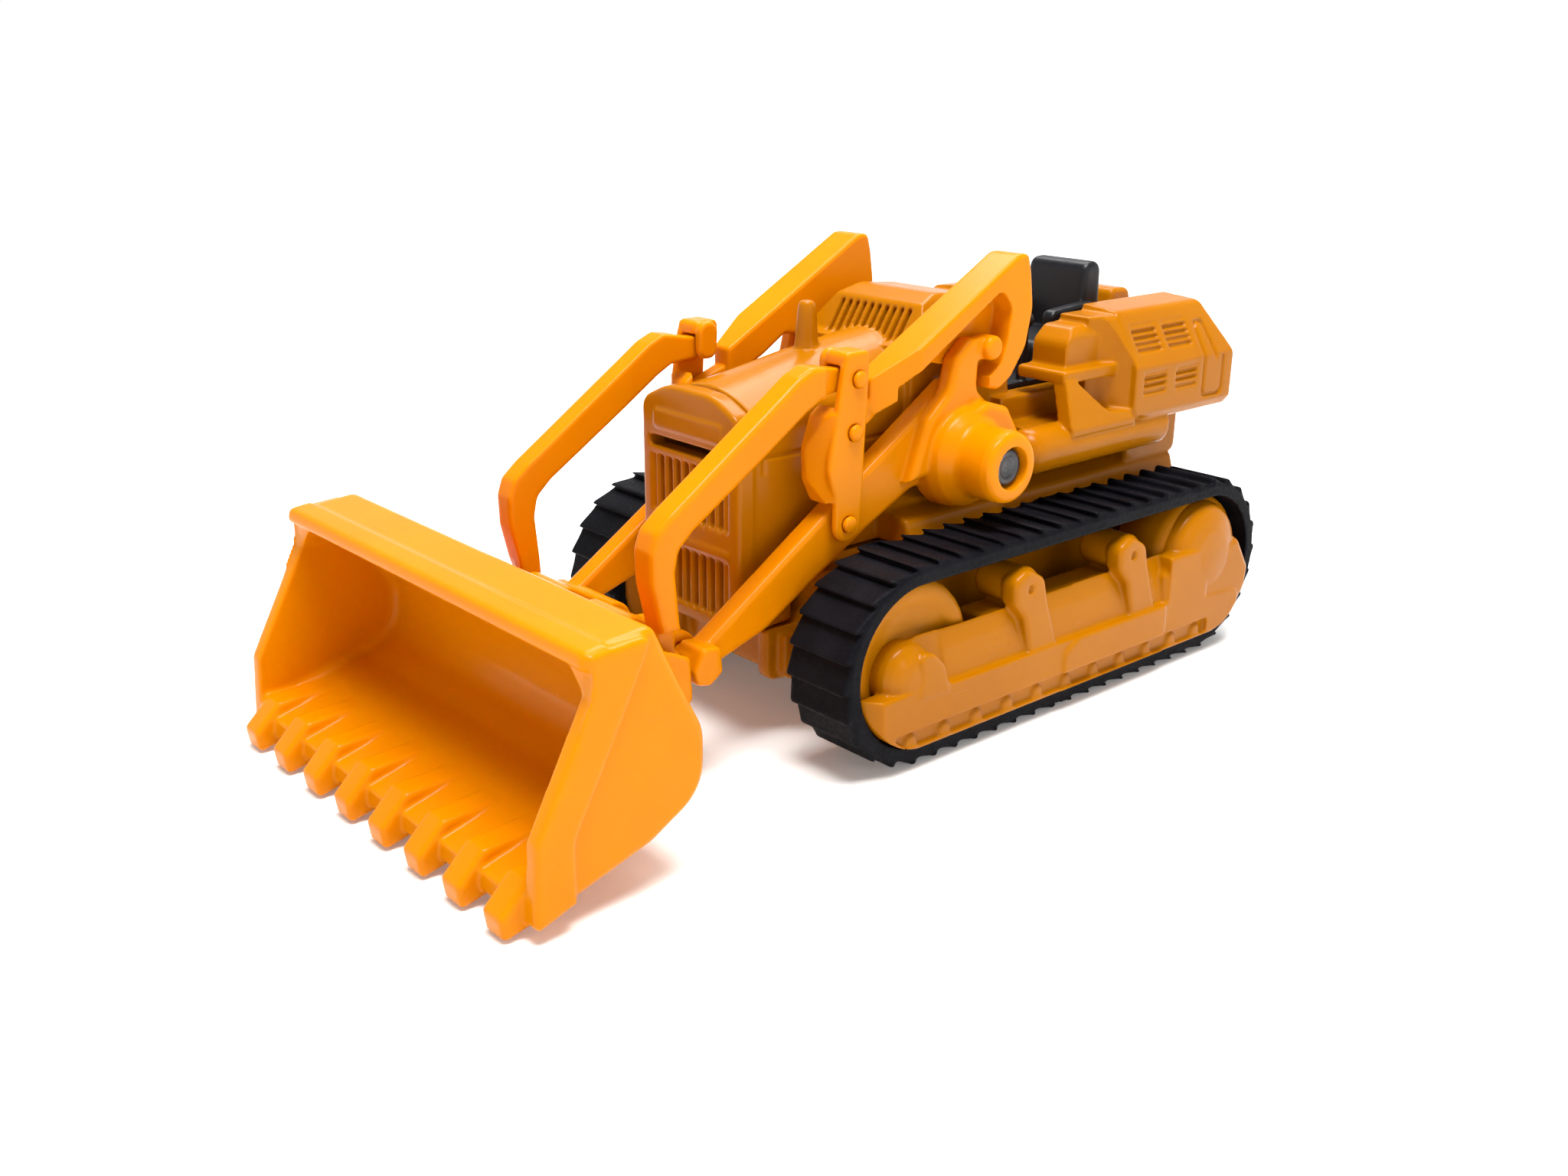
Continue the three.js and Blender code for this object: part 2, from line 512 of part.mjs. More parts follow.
const seatInsert = () => {
  const floor = box(-4.9, 4.9, 17.3, 31.3, 21.9, 22.7);
  const cushion = extrude(rounded([[22.6, 22.5], [22.6, 25.2, 0.8], [28.4, 25.6], [28.4, 22.5]]), 'x', -3.1, 3.1);
  const back = extrude(rounded([[27.6, 22.5], [29.0, 31.2, 0.7], [31.0, 31.3, 0.7], [31.2, 22.5]]), 'x', -3.1, 3.1);
  const rest = extrude(rounded([[23.4, 25.0], [23.4, 27.8, 0.5], [28.6, 28.2], [28.6, 25.0]]), 'x', 3.0, 4.2);
  const levers = bothSides(join(
    barZ([4.4, 19.6], 0.42, 22.3, 27.4, 10),
    toSolid(new THREE.SphereGeometry(0.75, 12, 8).translate(4.4, 19.6, 27.6)),
  ));
  return join(floor, cushion, back, bothSides(rest), levers);
};

addPiece('seat_insert', seatInsert(), blackPlastic);
const grilleLiner = box(-4.45, 4.45, HOOD_FRONT_Y + 1.75, HOOD_FRONT_Y + 3.2, 20.7, 21.8);
addPiece('grille_liner', grilleLiner, blackPlastic);

// ---------- loader arms ----------

const NUB_R = 0.5;
const NUB_BORE_R = 0.62;
const BOSS_R = 2.5;
const BOSS_END_X = 14.4;
const COLLAR_R = 1.3;

const boomArm = () => {
  const arm = extrude(rounded([
    [-17.4, 7.7, 0.6], [-11.0, 9.75], [-1.8, 15.0, 4], [3.6, 17.7, 3], [5.8, 16.9, 1.0], [9.2, 17.0, 1.0],
    [10.4, 18.6, 1.0], [10.5, 22.6, 0.8], [8.7, 23.6, 0.6], [8.3, 24.9, 0.4], [6.6, 24.9, 0.4], [-2.0, 19.35],
    [-16.1, 10.15, 0.8], [-17.9, 9.4, 0.5],
  ]), 'x', BOOM_IN_X, BOOM_OUT_X);
  // the outer post that ends in the tilt arm's guide
  const post = extrude(rounded([
    [2.6, 18.6], [9.6, 19.0], [9.8, 23.2, 0.6], [8.6, 24.2, 0.8], [8.7, 28.0, 0.7], [7.6, 28.1, 0.7],
    [6.1, 26.8, 0.6], [5.7, 24.2, 1.2], [3.6, 22.6],
  ]), 'x', BOOM_OUT_X - 0.2, 9.6);
  const shield = extrude(rounded([
    [5.6, 17.4, 0.8], [9.6, 17.2, 0.8], [12.5, 20.4, 0.4], [10.9, 22.8, 0.4], [8.6, 23.4, 0.6], [5.4, 21.8, 0.6],
  ]), 'x', BOOM_OUT_X - 0.2, 10.3);
  const bossProfile = [
    [0, BOOM_OUT_X - 0.3], [3.35, BOOM_OUT_X - 0.3], [3.15, 9.6], [2.9, 10.6], [2.75, 12.2], [BOSS_R, 12.2],
    [BOSS_R, BOSS_END_X - 0.4], [BOSS_R - 0.35, BOSS_END_X], [0, BOSS_END_X],
  ];
  const cone = new THREE.LatheGeometry(bossProfile.map(([r, x]) => new THREE.Vector2(r, x)), 20);
  const boss = toSolid(cone.rotateZ(-Math.PI / 2).translate(0, ...BOOM_PIVOT));
  const collar = barX(BUCKET_PIVOT, COLLAR_R, BOOM_IN_X, 9.4, 16);
  const nubs = [
    barX(CRANK_PIVOT, NUB_R, BOOM_OUT_X - 0.4, CRANK_OUT_X + 0.25, 16),
    barX(BOOM_NUB, 0.9, BOOM_OUT_X, 10.2, 20),
    barX(BUCKET_PIVOT, NUB_R + 0.2, BOOM_IN_X - 1.4, BOOM_IN_X + 0.4, 16),
  ];
  const neck = extrude([[8.0, 26.6], [BOOM_NUB[0], 26.5], [BOOM_NUB[0], 27.9], [8.0, 27.8]], 'x', BOOM_OUT_X, 9.6);
  const pinBore = barX(BOOM_PIVOT, PIN_R + 0.08, 0, PIN_END_X + 0.1);
  const recess = barX(BOOM_PIVOT, 1.75, PIN_END_X - 0.5, WIDE);
  return cut(join(arm, post, shield, boss, collar, neck, ...nubs), pinBore, recess);
};

addPair('boom', boomArm(), plastic);
addPiece('boom_pivot_pin', barX(BOOM_PIVOT, PIN_R, -PIN_END_X, PIN_END_X, 16), steel);

// ---------- bell-cranks ----------

const bellcrank = () => {
  const outline = rounded([
    [-5.4, 15.0, 1.2], [-3.0, 15.0, 1.2], [-2.75, 20.6, 3], [-2.4, 28.2, 1.1], [-4.7, 28.2, 1.1], [-5.9, 21.6, 1.5],
    [-6.1, 20.2, 1.5], [-5.4, 18.0, 1.5],
  ]);
  const plate = extrude(outline, 'x', CRANK_PLATE_IN_X, CRANK_OUT_X);
  // the front wall joins the outer plate to the inner one above the arm
  const front = extrude(rounded([
    [-7.0, 21.8, 0.8], [-6.0, 23.9], [-5.2, 24.4], [-5.15, 21.0], [-5.3, 18.4], [-6.1, 17.9], [-6.9, 19.5, 0.8],
  ]), 'x', 6.3, CRANK_PLATE_IN_X + 0.1);
  const capSide = rounded([[-4.75, 27.5], [-2.45, 27.5], [-2.4, 28.2, 0.7], [-4.7, 28.2, 0.7]]);
  const cap = extrude(capSide, 'x', 7.3, CRANK_PLATE_IN_X + 0.1);
  const bores = [CRANK_PIVOT, CRANK_MID, CRANK_TOP].map((at) => barX(at, NUB_BORE_R, 5, 12, 16));
  return cut(join(plate, front, cap), ...bores);
};

addPair('bellcrank', bellcrank(), plastic);

// ---------- links from the bell-cranks to the bucket ----------

const LINK_IN_X = 7.35;
const LINK_OUT_X = 8.55;
const FOOT_BORE_R = 0.7; // a loose fit: the linkage is not quite a straight-line mechanism

const link = () => {
  const bar = extrude(rounded([
    [-18.9, 9.6], [-18.7, 17.4, 1.2], [-15.2, 20.2], [-7.9, 25.1, 1.6], [-4.9, 25.6, 0.5], [-4.4, 25.5],
    [-2.6, 25.6, 0.9], [-2.6, 27.2, 0.8], [-4.9, 27.3, 0.4], [-5.6, 27.45, 1.0], [-8.9, 27.0, 1.8], [-17.6, 21.7],
    [-20.9, 19.7, 1.4], [-21.0, 17.4, 1.4], [-20.0, 11.5], [-20.1, 9.6],
  ]), 'x', LINK_IN_X, LINK_OUT_X);
  const foot = barX(LINK_FOOT, 1.1, LINK_IN_X, LINK_OUT_X, 16);
  const wide = extrude(rounded([
    [-18.7, 11.4], [-18.8, 17.4, 1.2], [-15.2, 20.2], [-7.9, 25.1, 1.6], [-6.3, 25.4], [-6.3, 27.4],
    [-8.9, 27.0, 1.8], [-17.6, 21.7], [-20.9, 19.7, 1.4], [-21.0, 17.4, 1.4], [-20.2, 11.4],
  ]), 'x', LINK_OUT_X - 0.1, CRANK_OUT_X - 0.05);
  const nub = barX(CRANK_TOP, NUB_R, LINK_OUT_X - 0.3, CRANK_OUT_X + 0.2, 16);
  return cut(join(bar, foot, wide, nub), barX(LINK_FOOT, FOOT_BORE_R, 5, 12, 16));
};

addPair('link', link(), plastic);

// ---------- tilt arms ----------

const tiltArm = () => {
  const outline = rounded([
    [-1.6, 24.4, 0.4], [-0.2, 24.9], [3.0, 26.9, 0.6], [9.2, 25.1, 0.4], [9.6, 24.0, 0.7], [10.6, 24.0, 0.7],
    [12.6, 26.1, 1.5], [13.1, 27.8, 2], [13.6, 30.6, 2], [13.1, 33.8, 0.5], [12.0, 33.8, 0.8], [-0.9, 26.55, 0.5],
  ]);
  const blank = extrude(outline, 'x', 6.9, 10.0);
  // the outer face is hollowed so that only a rim stands round the post and its guide
  const hollow = extrude(rounded([
    [0.4, 23.0], [0.4, 25.3], [4.2, 27.75], [7.4, 29.3], [11.3, 32.0, 0.5], [12.3, 30.0, 1.5], [11.9, 27.4, 1.0],
    [10.2, 25.6, 0.6], [9.3, 25.1], [9.3, 23.0],
  ]), 'x', 8.1, 12);
  const tongue = extrude(rounded([
    [-4.75, 22.4, 0.7], [-4.0, 21.85, 0.5], [-2.9, 22.2, 0.5], [0.4, 25.2], [0.4, 26.2], [-1.0, 25.0],
    [-4.7, 23.6, 0.7],
  ]), 'x', 7.3, LINK_OUT_X);
  const nub = barX(CRANK_MID, NUB_R, LINK_OUT_X - 0.3, CRANK_OUT_X + 0.25, 16);
  const crankRoom = box(LINK_OUT_X, 12, -8, -1.8, 20, 30);
  return join(cut(blank, hollow, crankRoom), tongue, nub);
};

addPair('tilt_arm', tiltArm(), plastic);

// ---------- bucket ----------

const SIDE_VIEW = [
  [-32.9, 16.5, 0.3], [-27.8, 17.0, 0.6], [-26.4, 14.0, 4], [-24.2, 9.6, 3], [-24.2, 5.6, 3.4], [-28.2, 3.4, 3],
  [-36.8, 0.9, 0.3], [-37.0, 1.4], [-36.7, 6.2, 0.8], [-32.5, 13.8, 0.8], [-32.3, 15.4, 0.3],
];

const INSIDE_VIEW = [
  [-40, 15.4], [-28.6, 15.7, 0.8], [-27.4, 13.4, 4], [-25.4, 9.4, 2.4], [-25.5, 6.2, 2.6], [-28.5, 4.7, 2.4],
  [-36.4, 2.2], [-40, 1.4],
];

const bucketCavity = () => {
  const reach = BUCKET_HALF_WIDTH - WALL;
  return extrude(rounded(INSIDE_VIEW, 4), 'x', -reach, reach);
};

const tooth = (x) => {
  const tipSide = rounded([[-38.0, 0.1, 0.3], [-34.6, 0.7], [-34.6, 3.4], [-36.6, 3.5, 0.3], [-38.25, 1.7, 0.4]]);
  const shoulderSide = [[-36.3, 0.8], [-33.0, 1.6], [-29.6, 3.5], [-30.0, 4.4], [-36.0, 3.2]];
  return join(
    extrude(tipSide, 'x', x - TIP_HALF_WIDTH, x + TIP_HALF_WIDTH),
    extrude(shoulderSide, 'x', x - SHOULDER_HALF_WIDTH, x + SHOULDER_HALF_WIDTH),
  );
};

const bucket = () => {
  const outer = extrude(rounded(SIDE_VIEW, 6), 'x', -BUCKET_HALF_WIDTH + 0.35, BUCKET_HALF_WIDTH - 0.35);
  const band = bothSides(extrude(rounded([
    [-32.9, 16.5], [-28.1, 16.6], [-30.5, 12.2], [-33.9, 5.7], [-33.9, 1.8], [-36.8, 0.9, 0.3], [-37.0, 1.4],
    [-36.7, 6.2, 0.8], [-32.5, 13.8, 0.8], [-32.3, 15.4],
  ]), 'x', BUCKET_HALF_WIDTH - 0.5, BUCKET_HALF_WIDTH));
  const teeth = [];
  for (let i = 0; i < TOOTH_COUNT; i++) {
    teeth.push(tooth(TOOTH_SPAN * (i / (TOOTH_COUNT - 1) - 0.5)));
  }
  const lug = extrude(rounded([
    [-27.0, 13.4], [-20.6, 11.0, 0.8], [-18.6, 10.4, 0.8], [-18.4, 7.0, 0.8], [-20.5, 5.6], [-25.4, 6.0],
  ]), 'x', 6.0, 9.75);
  const footRoom = box(LINK_IN_X - GAP, CRANK_OUT_X + 0.25, -21.4, -16, 7.2, 20);
  const lugs = bothSides(join(cut(lug, footRoom), barX(LINK_FOOT, NUB_R, 7.0, 9.6)));
  const barrelSide = [[-26.5, 12.6], [-20.4, 12.4], [-16.9, 10.3], [-16.9, 7.5], [-25.0, 6.0]];
  const barrel = cut(
    join(barX(BUCKET_PIVOT, 1.5, -6.3, 6.3), extrude(barrelSide, 'x', -6.2, 6.2)),
    box(-1.4, 1.4, -22.5, -14, 3, 14),
    bothSides(barX(BUCKET_PIVOT, NUB_R + 0.3, 5.1, 7.0)),
  );
  return join(cut(join(outer, band), bucketCavity()), ...teeth, cut(join(lugs, barrel), bucketCavity()));
};

addPiece('bucket', bucket(), plastic);

export default loader;
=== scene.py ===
"""Toy crawler loader: the visual model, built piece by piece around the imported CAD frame.

Every piece is modelled in millimetres, softened the way a moulded or painted part is, then scaled to
metres and hung on its CAD body. The front of the toy looks along -Y and its left side along +X.
"""

import json
import math

import bmesh
import bpy
from mathutils import Matrix, Vector


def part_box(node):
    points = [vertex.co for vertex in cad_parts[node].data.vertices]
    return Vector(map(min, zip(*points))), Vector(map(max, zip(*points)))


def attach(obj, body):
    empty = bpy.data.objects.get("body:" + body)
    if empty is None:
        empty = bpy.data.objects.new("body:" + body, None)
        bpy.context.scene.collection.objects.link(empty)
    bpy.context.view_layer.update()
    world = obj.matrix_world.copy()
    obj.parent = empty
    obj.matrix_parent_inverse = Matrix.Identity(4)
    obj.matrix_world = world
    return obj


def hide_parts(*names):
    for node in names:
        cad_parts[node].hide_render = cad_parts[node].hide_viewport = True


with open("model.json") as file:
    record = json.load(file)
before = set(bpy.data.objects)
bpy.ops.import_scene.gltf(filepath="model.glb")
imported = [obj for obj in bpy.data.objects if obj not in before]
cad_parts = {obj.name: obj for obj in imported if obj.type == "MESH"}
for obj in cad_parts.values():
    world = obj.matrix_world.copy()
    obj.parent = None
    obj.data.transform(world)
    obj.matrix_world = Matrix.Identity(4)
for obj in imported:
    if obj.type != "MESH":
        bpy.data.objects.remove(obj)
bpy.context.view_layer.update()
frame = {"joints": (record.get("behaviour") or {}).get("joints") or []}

# ---------- measures taken from the frame, in millimetres ----------

TO_MM = 1000.0
TO_METRES = 0.001


def box_mm(node):
    """Lowest and highest corners of a CAD node."""
    low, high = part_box(node)
    return low * TO_MM, high * TO_MM


def centre_mm(node):
    """The middle of a CAD node."""
    low, high = box_mm(node)
    return (low + high) / 2


def pivot(joint):
    """A joint's place in the side view, as (y, z)."""
    found = next(j for j in frame["joints"] if j["name"] == joint)
    return found["pos_m"][1] * TO_MM, found["pos_m"][2] * TO_MM


FRONT_AXLE_Y, AXLE_Z = centre_mm("front_axle")[1:]
REAR_AXLE_Y = centre_mm("rear_axle")[1]
BELT_LOW, BELT_HIGH = box_mm("track_left")
BELT_IN_X, BELT_OUT_X = BELT_LOW.x, BELT_HIGH.x
CREST_R = (BELT_HIGH.z - BELT_LOW.z) / 2
WHEEL_LOW, WHEEL_HIGH = box_mm("idler_left")
WHEEL_R = (WHEEL_HIGH.z - WHEEL_LOW.z) / 2
BOOM_PIVOT = pivot("boom_lift")
BUCKET_PIVOT = pivot("bucket_tilt")
CRANK_PIVOT = pivot("bellcrank_left_swing")
CRANK_TOP = pivot("link_left_swing")
CRANK_MID = pivot("tilt_arm_left_swing")
BUCKET_HALF_WIDTH = box_mm("bucket")[1].x
HOOD_FRONT_Y = box_mm("body_shell")[0].y
REAR_Y = box_mm("body_shell")[1].y
BOX_OUT_X = box_mm("body_shell")[1].x
FRAME_OUT_X = box_mm("track_frame_left")[1].x - 0.15
PIN_END_X = box_mm("boom_pivot_pin")[1].x

# ---------- sizes of the visible detail ----------

HOOD_HALF_WIDTH = 5.4
GRILLES = ((15.7, 20.0), (9.2, 13.5))  # lowest and highest z of each
BELT_THICKNESS = 0.8
LUG_COUNT = 52
LUG_END_X = BELT_OUT_X - 0.08
LUG_PROFILE = (  # (share of the pitch, rise above the band)
    (0.0, -0.05), (0.10, 0.16), (0.66, 0.48), (0.78, 0.62), (0.90, 0.60), (0.96, 0.35), (0.985, -0.05),
)
BOOM_IN_X, BOOM_OUT_X = 6.7, 8.5
POST_OUT_X = 9.6
BOOM_GUIDE = (9.55, 27.25)  # the tilt arm slides on it, (y, z)
CRANK_PLATE_IN_X, CRANK_OUT_X = 8.75, 9.35
LINK_IN_X, LINK_OUT_X = 7.35, 8.55
LINK_FOOT = (-19.5, 9.4)  # its pivot in the bucket, (y, z)
NUB_R = 0.5
PIN_BORE_R = 1.48
RIVET_YS = (3.0, 25.0)
FRAME_IN_X = 15.3
FRAME_FLOOR_Z = AXLE_Z - 5.85
TOOTH_COUNT = 8
TOOTH_SPAN = 32.6
BUCKET_WALL = 1.2

FINE_VOXEL = 0.1
MIDDLE_VOXEL = 0.125
COARSE_VOXEL = 0.15
STL_FACES = 190000  # triangles a piece may have

# ---------- modelling helpers ----------

AXES = {
    "x": Matrix(((0, 0, 1, 0), (1, 0, 0, 0), (0, 1, 0, 0), (0, 0, 0, 1))),  # (u, v, w) = (y, z, x)
    "y": Matrix(((1, 0, 0, 0), (0, 0, -1, 0), (0, 1, 0, 0), (0, 0, 0, 1))),  # (u, v, w) = (x, z, -y)
    "z": Matrix.Identity(4),
}
BOOLEANS = {"join": "UNION", "cut": "DIFFERENCE", "common": "INTERSECT"}


def as_object(mesh, name="solid"):
    made = bpy.data.objects.new(name, mesh)
    bpy.context.scene.collection.objects.link(made)
    return made


def from_faces(points, faces):
    """A closed solid from points and faces, its faces turned outwards."""
    mesh = bpy.data.meshes.new("solid")
    mesh.from_pydata(points, [], faces)
    work = bmesh.new()
    work.from_mesh(mesh)
    bmesh.ops.remove_doubles(work, verts=work.verts, dist=1e-5)
    bmesh.ops.recalc_face_normals(work, faces=work.faces)
    work.to_mesh(mesh)
    work.free()
    return as_object(mesh)


def stack(rings, matrix=Matrix.Identity(4)):
    """A solid through rings of equal point counts, capped at both ends."""
    count = len(rings[0])
    points = [matrix @ Vector(p) for ring in rings for p in ring]
    faces = [list(range(count))[::-1], [(len(rings) - 1) * count + i for i in range(count)]]
    for level in range(len(rings) - 1):
        for i in range(count):
            j = (i + 1) % count
            low, high = level * count, (level + 1) * count
            faces.append([low + i, low + j, high + j, high + i])
    return from_faces(points, faces)


def rounded(corners, steps=7):
    """Outline points with its corners rounded: a corner is (u, v) or (u, v, radius)."""
    points = []
    count = len(corners)
    for i, (u, v, *wanted) in enumerate(corners):
        here = Vector((u, v))
        if not wanted:
            points.append((u, v))
            continue
        before = Vector(corners[i - 1][:2]) - here
        after = Vector(corners[(i + 1) % count][:2]) - here
        room = 0.48 * min(before.length, after.length)
        half = before.angle(after) / 2
        reach = min(wanted[0] / math.tan(half), room)
        radius = reach * math.tan(half)
        start = here + before.normalized() * reach
        end = here + after.normalized() * reach
        centre = here + (before.normalized() + after.normalized()).normalized() * radius / math.sin(half)
        first, last = start - centre, end - centre
        turn = math.atan2(first.x * last.y - first.y * last.x, first.dot(last))
        for k in range(steps + 1):
            angle = turn * k / steps
            spin = Matrix.Rotation(angle, 2)
            points.append(tuple(centre + spin @ first))
    return points


def rectangle(u0, u1, v0, v1, radius):
    """A rectangle's outline with every corner rounded alike."""
    return rounded([(u0, v0, radius), (u1, v0, radius), (u1, v1, radius), (u0, v1, radius)])


def symmetric(right):
    """A whole outline from its right half, given from the bottom up."""
    left = [(-u, *rest) for u, *rest in right]
    return left[:1] + right + left[:0:-1]


def inset(outline, amount):
    """The anticlockwise outline moved inwards by amount."""
    points = []
    count = len(outline)
    for i in range(count):
        here = Vector(outline[i])
        ahead = (Vector(outline[(i + 1) % count]) - here).normalized()
        behind = (here - Vector(outline[i - 1])).normalized()
        along = (ahead + behind).normalized()
        stretch = 1 / max(0.5, along.dot(ahead))
        points.append(tuple(here + Vector((-along.y, along.x)) * amount * stretch))
    return points


def area(outline):
    """The area inside an outline, positive when it runs anticlockwise."""
    pairs = zip(outline, outline[1:] + outline[:1])
    return sum(a[0] * b[1] - b[0] * a[1] for a, b in pairs) / 2


def extrude(outline, axis, low, high, rim=0.0):
    """An outline pushed along an axis from low to high; rim rounds the edges of both ends."""
    outline = [tuple(p[:2]) for p in outline]
    if area(outline) < 0:
        outline.reverse()
    if axis == "y":
        low, high = -high, -low
    levels = [(low, 0.0), (high, 0.0)]
    if rim:
        arc = [math.radians(a) for a in (0, 22.5, 45, 67.5, 90)]
        start = [(low + rim * (1 - math.sin(a)), rim * (1 - math.cos(a))) for a in reversed(arc)]
        levels = start + [(low + high - w, pull) for w, pull in reversed(start)]
    rings = [[(u, v, w) for u, v in inset(outline, pull)] for w, pull in levels]
    return stack(rings, AXES[axis])


def slab(corners, axis, low, high, rim=0.0):
    """An extruded outline whose corners are rounded."""
    return extrude(rounded(corners), axis, low, high, rim)


def block(x0, x1, y0, y1, z0, z1):
    return extrude([(y0, z0), (y1, z0), (y1, z1), (y0, z1)], "x", x0, x1)


def lathe(profile, axis, at, steps=56):
    """A profile of (radius, along) points turned about an axis through at."""
    rings = []
    for radius, along in profile:
        turn = [2 * math.pi * k / steps for k in range(steps)]
        rings.append([(at[0] + radius * math.cos(a), at[1] + radius * math.sin(a), along) for a in turn])
    return stack(rings, AXES[axis])


def bar(axis, at, radius, low, high, rim=0.0):
    """A round bar with rounded rims."""
    profile = [(radius, low), (radius, high)]
    if rim:
        arc = [math.radians(a) for a in (0, 30, 60, 90)]
        first = [(radius - rim * (1 - math.cos(a)), low + rim * (1 - math.sin(a))) for a in reversed(arc)]
        last = [(radius - rim * (1 - math.cos(a)), high - rim * (1 - math.sin(a))) for a in arc]
        profile = first + last
    return lathe(profile, axis, at)


def ball(at, radius):
    """A ball round the point at."""
    levels = [math.radians(-88 + 11 * k) for k in range(17)]
    profile = [(radius * math.cos(a), at[2] + radius * math.sin(a)) for a in levels]
    return lathe(profile, "z", at[:2], 32)


def bake(solid):
    """Applies the solid's modifiers."""
    graph = bpy.context.evaluated_depsgraph_get()
    mesh = bpy.data.meshes.new_from_object(solid.evaluated_get(graph))
    solid.modifiers.clear()
    solid.data = mesh


def combine(kind, solid, tools):
    """One boolean step with each tool; the tools are used up."""
    for tool in tools:
        step = solid.modifiers.new(kind, "BOOLEAN")
        step.operation = BOOLEANS[kind]
        step.solver = "MANIFOLD"
        step.object = tool
    bake(solid)
    for tool in tools:
        bpy.data.objects.remove(tool)
    return solid


def join(solid, *tools):
    return combine("join", solid, tools)


def cut(solid, *tools):
    return combine("cut", solid, tools)


def common(solid, *tools):
    return combine("common", solid, tools)


def mirrored(solid):
    """A mirror image in the plane between left and right."""
    mesh = solid.data.copy()
    mesh.transform(Matrix.Scale(-1, 4, (1, 0, 0)))
    mesh.flip_normals()
    return as_object(mesh)


def both(solid):
    """The solid joined to its mirror image."""
    return join(solid, mirrored(solid))


def tilted(solid, angle, at):
    """The solid turned about the X direction through the side-view point at."""
    place = Matrix.Translation((0, at[0], at[1]))
    solid.data.transform(place @ Matrix.Rotation(angle, 4, "X") @ place.inverted())
    return solid


def soften(solid, voxel, passes):
    """Rounds every edge a little, as paint or a mould does, and keeps the triangle count down."""
    shell = solid.modifiers.new("shell", "REMESH")
    shell.mode = "VOXEL"
    shell.voxel_size = voxel * 1
    smooth = solid.modifiers.new("smooth", "SMOOTH")
    smooth.factor = 0.5
    smooth.iterations = passes
    bake(solid)
    triangles = 2 * len(solid.data.polygons)
    if triangles > STL_FACES:
        thin = solid.modifiers.new("thin", "DECIMATE")
        thin.ratio = STL_FACES / triangles
        even = solid.modifiers.new("even", "SMOOTH")
        even.factor = 0.4
        even.iterations = 2
        bake(solid)
    return solid


def publish(solid, name, body, material):
    """Turns a finished solid into the piece that stands for the CAD node of that name."""
    solid.name = name + "_piece"
    solid.data.name = solid.name
    solid.data.transform(Matrix.Scale(TO_METRES, 4))
    solid.data.materials.clear()
    solid.data.materials.append(material)
    for face in solid.data.polygons:
        face.use_smooth = True
        face.material_index = 0
    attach(solid, body)
    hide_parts(name)


def publish_pair(solid, name, bodies, material):
    """The left piece and its mirror image on the right."""
    other = mirrored(solid)
    publish(solid, name + "_left", bodies[0], material)
    publish(other, name + "_right", bodies[1], material)


# ---------- materials ----------

# noise scales, in features per metre
FLOW, PATCH, BLOOM, GRIME, PEEL = 90, 130, 260, 320, 420
CLOUD, GRAIN, HAIR, RUBBER_GRAIN = 700, 1500, 2600, 3200
SPECK_CELLS, LINT_CELLS, TURNING_RINGS = 210, 520, 900


def nodes_of(name):
    material = bpy.data.materials.new(name)
    material.use_nodes = True
    tree = material.node_tree
    shader = tree.nodes["Principled BSDF"]
    return material, tree, shader


def feed(tree, made, inputs):
    """Fills a node's inputs, each with a plain value or with a socket to link."""
    for key, value in inputs.items():
        if isinstance(value, bpy.types.NodeSocket):
            tree.links.new(value, made.inputs[key])
        else:
            made.inputs[key].default_value = value


def node(tree, kind, inputs=None, **settings):
    """A new node with its inputs fed and its other settings made."""
    made = tree.nodes.new(kind)
    for key, value in settings.items():
        setattr(made, key, value)
    feed(tree, made, inputs or {})
    return made


def noise(tree, place, scale, detail=3.0, rough=0.55):
    """Noise with scale in features per metre."""
    inputs = {"Vector": place, "Scale": scale, "Detail": detail, "Roughness": rough}
    return node(tree, "ShaderNodeTexNoise", inputs).outputs["Fac"]


def ramp(tree, value, low, high, to_low=0.0, to_high=1.0):
    """The value mapped from the span low to high onto the span to_low to to_high."""
    inputs = {"Value": value, "From Min": low, "From Max": high, "To Min": to_low, "To Max": to_high}
    return node(tree, "ShaderNodeMapRange", inputs).outputs["Result"]


def times(tree, a, b):
    return node(tree, "ShaderNodeMath", {0: a, 1: b}, operation="MULTIPLY").outputs[0]


def plus(tree, a, b):
    return node(tree, "ShaderNodeMath", {0: a, 1: b}, operation="ADD").outputs[0]


def relief(tree, height, strength):
    """The normal of a bumpy surface whose bumps are at most a tenth of a millimetre."""
    inputs = {"Height": height, "Strength": strength, "Distance": 0.0001}
    return node(tree, "ShaderNodeBump", inputs).outputs["Normal"]


def mixed(tree, share, a, b):
    """Colour a shading into colour b."""
    made = node(tree, "ShaderNodeMix", {"Factor": share}, data_type="RGBA")
    for key, value in (("A", a), ("B", b)):
        socket = next(s for s in made.inputs if s.name == key and s.type == "RGBA")
        if isinstance(value, bpy.types.NodeSocket):
            tree.links.new(value, socket)
        else:
            socket.default_value = value
    return next(s for s in made.outputs if s.type == "RGBA")


def specks(tree, place, scale, size, share):
    """A mask of small round specks: scale in cells per metre, size in cells, share of the cells used."""
    cells = node(tree, "ShaderNodeTexVoronoi", {"Vector": place, "Scale": scale})
    spot = ramp(tree, cells.outputs["Distance"], size, size * 0.6)
    split = node(tree, "ShaderNodeSeparateColor", {"Color": cells.outputs["Color"]})
    used = ramp(tree, split.outputs["Red"], share, share * 0.98)
    return times(tree, spot, used)


